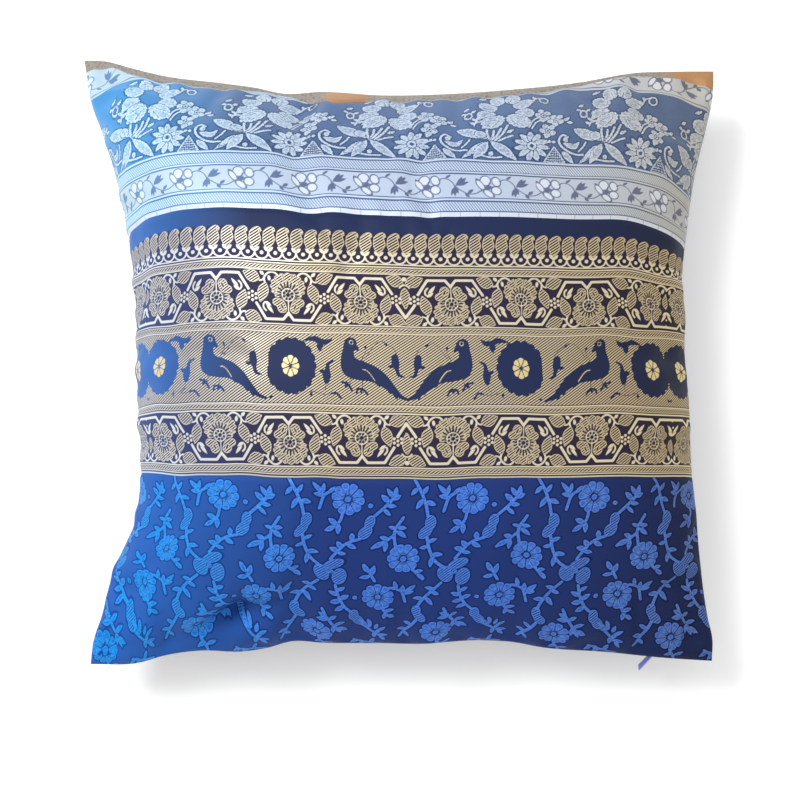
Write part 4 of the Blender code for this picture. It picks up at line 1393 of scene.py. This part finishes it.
class Finish:
    """A material while it is mixed."""

    def __init__(self, name, **constants):
        self.material = bpy.data.materials.new(name)
        self.material.use_nodes = True
        self.tree = self.material.node_tree
        self.shader = self.tree.nodes["Principled BSDF"]
        print("mixing the finish", name)
        for socket, number in constants.items():
            self.shader.inputs[socket.replace("_", " ")].default_value = number

    def node(self, kind, settings, inputs, output=0):
        """Add a node, set it, and fill its sockets with values or links."""
        made = self.tree.nodes.new(kind)
        for key, setting in settings.items():
            setattr(made, key, setting)
        for key, given in inputs.items():
            if isinstance(given, Value):
                self.tree.links.new(given.socket, made.inputs[key])
            else:
                made.inputs[key].default_value = given
        return Value(self, made.outputs[output])

    def amount(self, name):
        """An amount kept on the cloth's points."""
        return self.node("ShaderNodeAttribute", {"attribute_name": name}, {}, "Fac")

    def mixed(self, share, below, above):
        """One colour laid over another where the share is 1."""
        settings = {"data_type": "RGBA"}
        return self.node("ShaderNodeMix", settings, {0: share, 6: below, 7: above}, 2)

    def noise(self, place, scale, detail=3.0):
        """Soft random patches, about a half at the most common."""
        inputs = {"Vector": place, "Scale": scale, "Detail": detail}
        return self.node("ShaderNodeTexNoise", {}, inputs, "Fac")

    def place(self, x, y, z=0.0):
        """A place made of three values."""
        return self.node("ShaderNodeCombineXYZ", {}, {0: x, 1: y, 2: z})

    def object_place(self):
        """The place on the piece itself."""
        return self.node("ShaderNodeTexCoord", {}, {}, "Object")

    def bumped(self, height, depth, strength=1.0):
        """Raise the finish by a height from 0 to 1, at a depth in metres."""
        inputs = {"Strength": strength, "Distance": depth, "Height": height}
        self.feed("Normal", self.node("ShaderNodeBump", {}, inputs))

    def feed(self, socket, value):
        """Link a value to a socket of the shader."""
        self.tree.links.new(value.socket, self.shader.inputs[socket])


# %% [markdown]
# All the strips are woven silk. Close to, each shows a fine grid of threads, and the pattern
# threads lie a little proud of the ground. The sheen is partly metallic, because satin weave and
# wrapped thread both throw back light in their own colour, and partly painted in, lighter at the left.

# %% What the woven finishes share
THREAD = 0.42
SHEEN_SPAN = 200.0
STUDIO = 0.74

# Shares of the way out for the painted sheen: where the left colour is full, and how the right one sets in
LEFT_FULL = 0.84
RIGHT_TURN = 1.5
RIGHT_LIFT = -0.35


def silk(red, green, blue):
    """A screen colour for cloth, set darker by as much as the studio's light is stronger."""
    return (*[channel * STUDIO for channel in light(red, green, blue)[:3]], 1.0)


def threads(across, row, slant=0.0):
    """The fine grid of the weave, from 0 to 1."""
    warp = (across / THREAD).wave()
    weft = ((row + across * slant) / THREAD).wave()
    return warp * 0.5 + weft * 0.5


def with_rows(mask, row, bands):
    """A mask with some bands added, each from one row to another."""
    for low, high in bands:
        mask = mask.either(row.between(low, high))
    return mask


def slubs(finish, across, row):
    """Slow uneven streaks along the weft, about a half at the most common."""
    return finish.noise(finish.place(across * 0.16, row * 0.9), 1.0, 3.0)


def painted_side_sheen(finish, across, left, middle, right, turn=1.6):
    """A colour that turns from side to side over the filled form: painted sheen, lighter and bluer at the
    left.

    The turn says how steeply it changes to the left; the change ends at the same place.
    """
    share = across / SHEEN_SPAN
    to_left = (share * -1.0).ramp(turn, 1.0 - turn * LEFT_FULL)
    to_right = share.ramp(RIGHT_TURN, RIGHT_LIFT)
    return finish.mixed(to_right, finish.mixed(to_left, middle, left), right)


# %% [markdown]
# Gold thread lies solid in some motifs and as slanted lines in others, and where it lies close, the
# navy between looks reddish. The chart's layers say where the thread lies, and a wave across the
# slant makes the lines, which stay crisp however near the camera comes.

# %% The gold border's finish
HATCH_TURN = math.radians(34)
HATCH_STEP = 1.32
PAISLEY_HATCH = 0.91
PAISLEY_ROWS = (120.0, 149.4)
PEACOCK_ROWS = (189.8, 230.6)
DULL_ROWS = (128.6, 272.9)

# Lines of the border: from and to, in rows
UPPER_LINES = ((147.2, 148.0), (148.8, 149.6), (153.0, 153.7), (184.2, 184.9), (188.6, 189.4))
LOWER_LINES = ((231.1, 231.9), (235.6, 236.5), (267.1, 267.9), (271.6, 272.3), (273.2, 274.1))


def gold_border_finish():
    """Gold thread, solid or hatched, on navy that looks reddish where the gold lies close."""
    finish = Finish("gold_border_silk", Roughness=0.5, Specular_IOR_Level=0.12)
    across, row = finish.amount("across"), finish.amount("row")
    slanted = (across * math.sin(HATCH_TURN) + row * math.cos(HATCH_TURN)) / HATCH_STEP
    slanted = slanted * (1 - row.between(*PAISLEY_ROWS) * (1 - PAISLEY_HATCH))
    hatching = slanted.wave().ramp(2.4, -0.92)
    field = slanted.wave().ramp(2.4, -0.70)
    hatch = finish.amount("hatch")
    ground = row.between(*PEACOCK_ROWS)
    rim = hatch.between(0.0, 0.55, 0.2) * (1 - ground) * 0.7
    hatched = hatch.edge() * hatching.either(rim).either(ground * field)
    gold = with_rows(finish.amount("gold").edge(), row, (*UPPER_LINES, *LOWER_LINES))
    navy = finish.amount("navy").edge()
    thread = gold.either(hatched)
    thread = thread * (1 - navy * (1 - gold * ground))

    fine = threads(across, row)
    streaks = slubs(finish, across, row)
    # Painted sheen: the navy below is lighter and bluer at the left and darker to the right.
    plain = painted_side_sheen(finish, across, silk(62, 116, 194), silk(34, 46, 84), silk(32, 36, 58), 2.4)
    dull = painted_side_sheen(finish, across, silk(60, 52, 92), silk(50, 32, 46), silk(46, 28, 24))
    patches = finish.noise(finish.place(across * 0.05, row * 0.12), 1.0, 2.0)
    patches = patches.ramp(4.0, -2.0)
    dull = finish.mixed(patches * 0.7, dull, silk(42, 30, 80))
    between_threads = row.between(*DULL_ROWS, 0.5) * (1 - navy)
    near_thread = gold.either(hatch.ramp(1.0, 1.0))
    cloth = finish.mixed(between_threads * (near_thread * 0.3 + 0.7), plain, dull)
    cloth = finish.mixed(fine * 0.04, cloth, silk(92, 98, 150))
    # Painted reflection: the gold is whiter at the left, as if mirroring the window lamp, and warmer to the
    # right.
    bright = painted_side_sheen(finish, across, silk(232, 238, 246), silk(234, 222, 196), silk(240, 220, 176))
    deep = painted_side_sheen(finish, across, silk(228, 230, 230), silk(230, 214, 178), silk(224, 200, 152))
    metal = finish.mixed(gold, deep, bright)
    metal = finish.mixed(gold * ground * 0.8, metal, silk(240, 214, 142))
    metal = finish.mixed(streaks * 0.2, metal, silk(196, 172, 122))
    finish.feed("Base Color", finish.mixed(thread, cloth, metal))
    finish.feed("Metallic", thread * 0.25)
    finish.feed("Roughness", 0.55 - thread * 0.15)
    finish.bumped(gold * 0.4 + thread * 0.15 + fine * 0.05 + streaks * 0.3, 0.00018, 0.7)
    return finish.material


# %% [markdown]
# The silver motifs have ragged edges, as loosely floated thread does, so soft noise is added to
# their amount before its edge is drawn. The satin below has painted sheen: it turns from a bright
# blue at the left to grey at the right, which is mixed by the place on the cloth.

# %% The silver strip's finish
# Rows of the strip, from and to: its border, the corner of its other border, and the parts of
# both that are pale, dark, hatched or sewn over
BORDER_ROWS = (75.2, 118.0)
CORNER_ROWS = (-60, 7.5)
FIELD_ROWS = (87.4, 104.3)
PALE_ROWS = (
    CORNER_ROWS, (75.2, 76.5), (85.2, 86.3), FIELD_ROWS, (105.0, 106.2), (114.2, 118.0),
)
DARK_ROWS = (
    (5.2, 5.9), (76.7, 77.5), (84.8, 85.2), (86.5, 87.2), (104.5, 104.9), (106.5, 107.2),
    (113.6, 114.1),
)
HATCHED_ROWS = ((77.6, 84.7), (107.3, 113.5))
OVERCAST_ROWS = (114.4, 118.2)
GUARD_TURN = math.radians(57)
GUARD_STEP = 1.4
OVERCAST_STEP = 11.6
VEIN_WIDTH = 0.012


def pale_thread(across, row, flowers):
    """Where the strip is pale: its flowers, its pale rows, and slanted lines between those."""
    slanted = (across * math.sin(GUARD_TURN) - row * math.cos(GUARD_TURN)) / GUARD_STEP
    hatched = slanted.wave().ramp(2.2, -0.3)
    guards = row.between(*HATCHED_ROWS[0]).either(row.between(*HATCHED_ROWS[1]))
    return with_rows(flowers, row, PALE_ROWS).either(guards * (hatched * 0.8 + 0.2))


def ink_line(finish, across, row, overcast):
    """Where the border is dark: its drawn vine, its dark rows, and ticks along its sewn edge."""
    ink = with_rows(finish.amount("ink").edge(0.2), row, DARK_ROWS)
    tick = (across / OVERCAST_STEP).wave().ramp(40.0, -39.0)
    return ink.either(overcast * tick * 0.35)


def satin_with_painted_sheen(finish, across, streaks, moat, border, dark):
    """The ground under the thread: painted sheen, dark round the motifs, duller under the border."""
    # Painted sheen: the satin is bright blue at the left and greyer to the right.
    satin = painted_side_sheen(finish, across, silk(80, 168, 236), silk(78, 106, 154), silk(98, 108, 132), 2.8)
    satin = finish.mixed(streaks * 0.3, satin, silk(118, 150, 190))
    satin = finish.mixed(moat * 0.75, satin, dark)
    # The border's satin is duller, with the same painted sheen, lighter and bluer at the left.
    worn = painted_side_sheen(finish, across, silk(84, 164, 226), silk(88, 114, 162), silk(146, 142, 134))
    return finish.mixed(border, satin, worn)


def silver_thread(finish, across, row, drawn, motifs, dark):
    """The thread's silver, with grey flecks and dark veins inside the motifs."""
    # Painted reflection: both silvers are brighter and bluer at the left and greyer to the right.
    silver = painted_side_sheen(finish, across, silk(216, 246, 255), silk(212, 226, 246), silk(212, 208, 200))
    grey = painted_side_sheen(finish, across, silk(146, 194, 232), silk(142, 162, 192), silk(156, 156, 156))
    flecks = finish.noise(finish.place(across * 0.5, row * 0.5), 1.0, 2.0)
    inside = drawn.ramp(0.9, -0.35) * motifs * flecks.ramp(4.0, -1.3)
    silver = finish.mixed(inside * 0.8, silver, grey)
    vein = finish.noise(finish.place(across * 0.30, row * 0.30), 1.0, 2.0)
    veins = (VEIN_WIDTH - abs(vein - 0.5)).edge(0.012) * motifs
    return finish.mixed(veins * 0.75, silver, dark)


def silver_finish():
    """Silver thread on shot satin, above the pale border with its drawn vine."""
    finish = Finish("silver_floral_silk", Roughness=0.46, Specular_IOR_Level=0.2)
    across, row = finish.amount("across"), finish.amount("row")
    fine = threads(across, row, 0.35)
    streaks = slubs(finish, across, row)
    rough = finish.noise(finish.place(across * 1.1, row * 1.1), 1.0, 1.0)
    drawn = finish.amount("pale") + rough * 1.3 - 0.68
    border = row.between(*BORDER_ROWS).either(row.between(*CORNER_ROWS))
    motifs = 1 - border
    overcast = row.between(*OVERCAST_ROWS)
    petal = finish.amount("petal").edge()
    pale = pale_thread(across, row, drawn.edge())
    ink = ink_line(finish, across, row, overcast)
    # Painted sheen: the dark satin is lighter and bluer at the left.
    dark = painted_side_sheen(finish, across, silk(54, 104, 166), silk(52, 70, 106), silk(62, 78, 106), 2.8)
    moat = drawn.between(-0.9, 0.1, 0.3) * motifs
    satin = satin_with_painted_sheen(finish, across, streaks, moat, border, dark)
    silver = silver_thread(finish, across, row, drawn, motifs, dark)
    speckled = finish.noise(finish.place(across * 0.8, row * 0.8), 1.0, 2.0)
    field = row.between(*FIELD_ROWS).either(row.between(*CORNER_ROWS)) * (1 - petal)
    # Painted sheen: this grey is bluer at the left.
    dusk = painted_side_sheen(finish, across, silk(176, 188, 214), silk(176, 188, 214), silk(176, 174, 170))
    silver = finish.mixed(field * 0.30 + speckled * 0.2, silver, dusk)
    silver = finish.mixed(petal.either(overcast) * 0.5, silver, silk(240, 242, 250))
    cloth = finish.mixed(pale, satin, silver)
    # Painted sheen: the drawn line is lighter and bluer at the left.
    line = painted_side_sheen(finish, across, silk(96, 140, 190), silk(88, 98, 136), silk(104, 104, 118))
    finish.feed("Base Color", finish.mixed(ink * 0.92, cloth, line))
    finish.feed("Metallic", 0.30 - pale * 0.15)
    finish.feed("Roughness", 0.40 + pale * 0.12)
    finish.bumped(pale * 0.4 - ink * 0.3 + fine * 0.05 + streaks * 0.2, 0.00020, 0.8)
    return finish.material


# %% [markdown]
# The brocade's vines are bright thread with darker flecks, and its pods are ribbed. A dark line of
# bare ground runs round them, which the finish mixes in just outside each motif's edge.

# %% The blue brocade's finish
RIB_STEP = 1.45


def brocade_finish():
    """Bright vines and ribbed pods on a dark satin, painted lighter to the left as sheen."""
    finish = Finish("blue_brocade_silk", Roughness=0.5, Specular_IOR_Level=0.06)
    across, row = finish.amount("across"), finish.amount("row")
    fine = threads(across, row)
    streaks = slubs(finish, across, row)
    drawn = finish.amount("motif")
    motif = drawn.edge(0.2)
    pod = finish.amount("pod")
    ribs = ((across * 0.6 + row * 0.8) / RIB_STEP).wave().ramp(2.0, -0.3)
    pods = pod.edge() * ribs.either(pod.between(-0.1, 0.5, 0.2) * 0.8)
    raised = motif.either(pods)
    # Painted sheen: the ground and its dark moats are lighter and bluer at the left.
    ground = painted_side_sheen(finish, across, silk(46, 104, 192), silk(35, 58, 122), silk(28, 36, 68))
    ground = finish.mixed(streaks * 0.15, ground, silk(58, 74, 140))
    dark = painted_side_sheen(finish, across, silk(20, 62, 150), silk(12, 30, 88), silk(12, 19, 46))
    moat = drawn.between(-0.9, 0.1, 0.3).either(pod.between(-0.8, 0.1, 0.3))
    ground = finish.mixed(moat * 0.8, ground, dark)
    # Painted sheen: the vines are lighter and bluer at the left, darker to the right.
    bright = painted_side_sheen(finish, across, silk(50, 178, 255), silk(96, 152, 250), silk(104, 138, 208))
    deep = painted_side_sheen(finish, across, silk(20, 124, 236), silk(52, 102, 204), silk(58, 84, 152))
    flecks = finish.noise(finish.place(across * 0.45, row * 1.2), 1.0, 2.0)
    flecks = flecks.ramp(5.0, -2.0)
    inside = drawn.ramp(1.2, -0.3)
    figure = finish.mixed(inside * 0.5 + flecks * 0.5, bright, deep)
    figure = finish.mixed(fine * 0.15, figure, silk(36, 66, 150))
    finish.feed("Base Color", finish.mixed(raised, ground, figure))
    finish.feed("Metallic", raised * 0.15)
    finish.feed("Roughness", 0.58 - raised * 0.14)
    finish.bumped(raised * 0.6 + fine * 0.05 + streaks * 0.25, 0.00024, 0.8)
    return finish.material


# %% [markdown]
# The tan strip is mostly a few millimetres deep, and loose specks stand in for its pattern. The
# back isn't in the photo and is kept plain. The slider and the tab come from the CAD without any
# amounts on their points, so their wear is noise on Object coordinates.

# %% The other finishes
# The tan strip's bare stretches: places across, from and to
BARE_MIDDLE = (-46.0, -20.0)
BARE_CORNER = (170.0, 206.0)


def tan_finish():
    """Tan silk with small dark specks, but for two bare, orange stretches."""
    finish = Finish("tan_silk", Roughness=0.5, Specular_IOR_Level=0.3)
    across, row = finish.amount("across"), finish.amount("row")
    fine = threads(across, row)
    specks = finish.noise(finish.place(across * 0.55, row * 0.7), 1.0, 3.0)
    specks = specks.ramp(8.0, -4.0)
    bare = across.between(*BARE_MIDDLE, 3.0).either(across.between(*BARE_CORNER, 8.0))
    plain = finish.mixed(bare, silk(160, 150, 142), silk(192, 134, 80))
    spot = finish.noise(finish.place(across * 0.06, 0.0), 1.0, 1.0)
    dark = finish.mixed(spot, silk(96, 92, 112), silk(128, 120, 70))
    cloth = finish.mixed(specks * (1 - bare) * 0.75, plain, dark)
    finish.feed("Base Color", finish.mixed(fine * 0.2, cloth, silk(215, 205, 180)))
    finish.feed("Metallic", specks * 0.1 + 0.1)
    finish.bumped(fine * 0.5 + specks * 0.5, 0.00015, 0.8)
    return finish.material


def navy_finish():
    """The back's plain satin."""
    finish = Finish("plain_navy_satin", Roughness=0.5, Specular_IOR_Level=0.15)
    across, row = finish.amount("across"), finish.amount("row")
    fine = threads(across, row)
    streaks = slubs(finish, across, row)
    cloth = finish.mixed(streaks * 0.6, silk(34, 42, 88), silk(52, 64, 120))
    finish.feed("Base Color", finish.mixed(fine * 0.15, cloth, silk(80, 90, 145)))
    finish.feed("Roughness", 0.46 + streaks * 0.16)
    finish.bumped(fine * 0.4 + streaks * 0.6, 0.00018, 0.8)
    return finish.material


def nickel_finish():
    """The slider's metal, a little worn."""
    finish = Finish("nickel", Metallic=1.0)
    worn = finish.noise(finish.object_place(), 900.0, 4.0)
    finish.feed("Base Color", finish.mixed(worn, light(176, 178, 186), light(214, 214, 218)))
    finish.feed("Roughness", 0.22 + worn * 0.2)
    finish.bumped(worn, 0.00003, 0.5)
    return finish.material


def lacquer_finish():
    """The pull tab's lacquer, rubbed pale in places."""
    finish = Finish("lavender_lacquer", Coat_Weight=0.4)
    worn = finish.noise(finish.object_place(), 700.0, 3.0)
    rubbed = worn.ramp(6.0, -3.4)
    finish.feed("Base Color", finish.mixed(rubbed * 0.5, light(112, 122, 205), light(168, 172, 214)))
    finish.feed("Roughness", 0.30 + worn * 0.15)
    finish.bumped(worn, 0.00004, 0.5)
    return finish.material


# %% [markdown]
# ## Sewing the strips together
#
# Four strips make the front. Where two of them meet, both turn down into a shallow groove, as
# sewn seams do when the filling pushes the cloth up on either side.

# %% Where one strip ends and the next starts
SILVER_END = 117
GOLD_END = 274.5
GROOVE = 0.8
GROOVE_REACH = 1.9

# The lower edge of the tan strip. Columns: place across, millimetres below the top seam.
TAN_EDGE = [
    (-200, 8.5), (-190, 6.2), (-181, 3.3), (-173, 4.6), (-157, 5.6), (-145, 4.8), (-120, 6.8), (-60, 6),
    (-47, 14), (-40, 20), (-32, 16), (-22, 9), (0, 7), (60, 6), (100, 4), (120, 2.2), (140, 1.8),
    (165, 4.6), (178, 5.8), (191, 9.8), (200, 14),
]


def top_edge(across):
    return 0 * across


def tan_edge(across):
    return curve_through(TAN_EDGE, across)


def silver_edge(across):
    return SILVER_END + wander(across, SILVER_END)


def gold_edge(across):
    return GOLD_END + wander(across, GOLD_END)


def bottom_edge(across):
    return CLOTH + 0 * across


def strip_grid(upper, lower, pitch):
    """Places across, and a grid of places from the top seam, between a strip's two edges."""
    across = np.linspace(-CLOTH / 2, CLOTH / 2, int(CLOTH / pitch) + 1)
    top, bottom = upper(across), lower(across)
    rows = int((bottom - top).max() / pitch)
    share = np.linspace(1, 0, rows + 1)[:, None]
    return across, top + (bottom - top) * share


# %% Make one strip
def make_strip(node, upper, lower, pitch, layers, finish):
    """One strip of cloth between two edges, in place of its CAD node."""
    across, from_top = strip_grid(upper, lower, pitch)
    places, below = laid_cloth(across, from_top)
    depth = 0
    for edge, away in ((upper, from_top - from_top[-1]), (lower, from_top[0] - from_top)):
        if edge not in (top_edge, bottom_edge):
            depth = depth + GROOVE * np.exp(-((away / GROOVE_REACH) ** 2))
    across_grid = np.broadcast_to(across, from_top.shape)
    row_grid = woven_row(across_grid, from_top)
    body, row, column = cloth_body(node + "_cloth", pushed_in(places, depth), below)
    close_neatly(body)
    amounts = {"across": across_grid, "row": row_grid}
    if layers is not None:
        amounts.update(layers(across_grid, row_grid))
    for name, grid in amounts.items():
        keep_amounts(body, name, grid, row, column)
    dress(body, node, finish)
    return body


def dress(body, node, finish):
    """Give a piece its finish and its body, in place of its CAD node."""
    body.data.materials.clear()
    body.data.materials.append(finish)
    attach(body, "root")
    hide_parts(node)
    print(body.name, "has", len(body.data.polygons), "faces")


silver = make_strip(
    "silver_floral_panel", tan_edge, silver_edge, 0.55, silver_layers, silver_finish()
)

# %% Sew on the gold border
border = make_strip(
    "gold_border_panel", silver_edge, gold_edge, 0.65, border_layers, gold_border_finish()
)

# %% Sew on the blue brocade
brocade = make_strip(
    "blue_brocade_panel", gold_edge, bottom_edge, 0.75, brocade_layers, brocade_finish()
)

# %% Sew on the tan strip
tan = make_strip("tan_top_strip", top_edge, tan_edge, 0.7, None, tan_finish())

# %% [markdown]
# The back is one plain panel. It bulges down to the ground, lies flat where the cushion rests on
# it, and has the same gathers along its seams as the front, only softer.

# %% The back
BACK_PITCH = 2.0
BACK_FOLDS = 0.6
CLEAR_OF_GROUND = 12.0


def back_cloth():
    """The back in one panel, in place of its CAD node."""
    across = np.linspace(-CLOTH / 2, CLOTH / 2, int(CLOTH / BACK_PITCH) + 1)
    _, level, lower = halves(across, across)
    across_grid, up_grid = np.meshgrid(across, across)
    free = np.clip(lower[..., 2] / CLEAR_OF_GROUND, 0, 1)
    places = pushed_in(lower, -BACK_FOLDS * fold_depth(across_grid, up_grid) * free)
    places += moved_by(settled_back, across_grid, up_grid)
    places[..., 2] = np.maximum(places[..., 2], 0)
    level[..., 2] -= GAP / 2
    body, row, column = cloth_body("back_panel_cloth", places, level)
    close_neatly(body)
    keep_amounts(body, "across", across_grid, row, column)
    keep_amounts(body, "row", CLOTH / 2 - up_grid, row, column)
    dress(body, "back_panel", navy_finish())
    return body


back = back_cloth()

# %% [markdown]
# The zip is hidden in the lower seam, and only its slider and its pull tab show. Their solids from
# the CAD already have the true form, so they only get a finish.

# %% The zip's slider and pull
for node, finish in (("zip_slider", nickel_finish()), ("zip_pull_tab", lacquer_finish())):
    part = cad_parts[node]
    part.data.materials.clear()
    part.data.materials.append(finish)

# %% [markdown]
# ## Floor and light
#
# The cushion lies on a plain pale floor, which glows a little, as a light table does, so that
# the shadow stays pale. A broad lamp stands to the upper left, as a window would, with a wide one
# overhead and a weak one to the lower right.

# %% Floor
FLOOR_SIZE = 12
FLOOR_GLOW = 0.20
FLOOR_COLOUR = (0.93, 0.92, 0.89, 1.0)
BELOW = -0.0002

bpy.ops.object.select_all(action="DESELECT")
bpy.ops.mesh.primitive_plane_add(size=FLOOR_SIZE, location=(0, 0, BELOW))
floor = bpy.context.active_object
floor.name = "floor"
bpy.ops.object.transform_apply(location=True, rotation=True, scale=True)
floor_finish = Finish(
    "pale_floor", Roughness=0.9, Base_Color=FLOOR_COLOUR, Emission_Color=FLOOR_COLOUR
)
floor_finish.shader.inputs["Emission Strength"].default_value = FLOOR_GLOW
floor.data.materials.append(floor_finish.material)
print("the floor is", FLOOR_SIZE, "m wide")


# %% Lights
LIT_HEIGHT = 0.05
ROOM_COLOUR = (0.95, 0.97, 1.0, 1.0)
ROOM_LIGHT = 0.60


def soft_light(name, place, size, power, colour=(1.0, 1.0, 1.0)):
    """A square lamp of this size in metres and power in watts, turned to the cushion."""
    bpy.ops.object.light_add(type="AREA", location=place)
    lamp = bpy.context.active_object
    lamp.name = name
    lamp.data.shape = "SQUARE"
    lamp.data.size = size
    lamp.data.energy = power
    lamp.data.color = colour
    ray = Vector((0, 0, LIT_HEIGHT)) - lamp.location
    lamp.rotation_euler = ray.to_track_quat("-Z", "Y").to_euler()


soft_light("window", (-1.05, 0.75, 2.1), 0.9, 47, (0.94, 0.98, 1.0))
soft_light("overhead", (0.1, 0.1, 2.6), 1.8, 13)
soft_light("fill", (1.6, -0.9, 1.5), 1.4, 4)

bpy.context.scene.world = bpy.context.scene.world or bpy.data.worlds.new("room")
room = bpy.context.scene.world
room.use_nodes = True
background = room.node_tree.nodes["Background"]
background.inputs["Color"].default_value = ROOM_COLOUR
background.inputs["Strength"].default_value = ROOM_LIGHT
bpy.context.scene.view_settings.view_transform = "Standard"
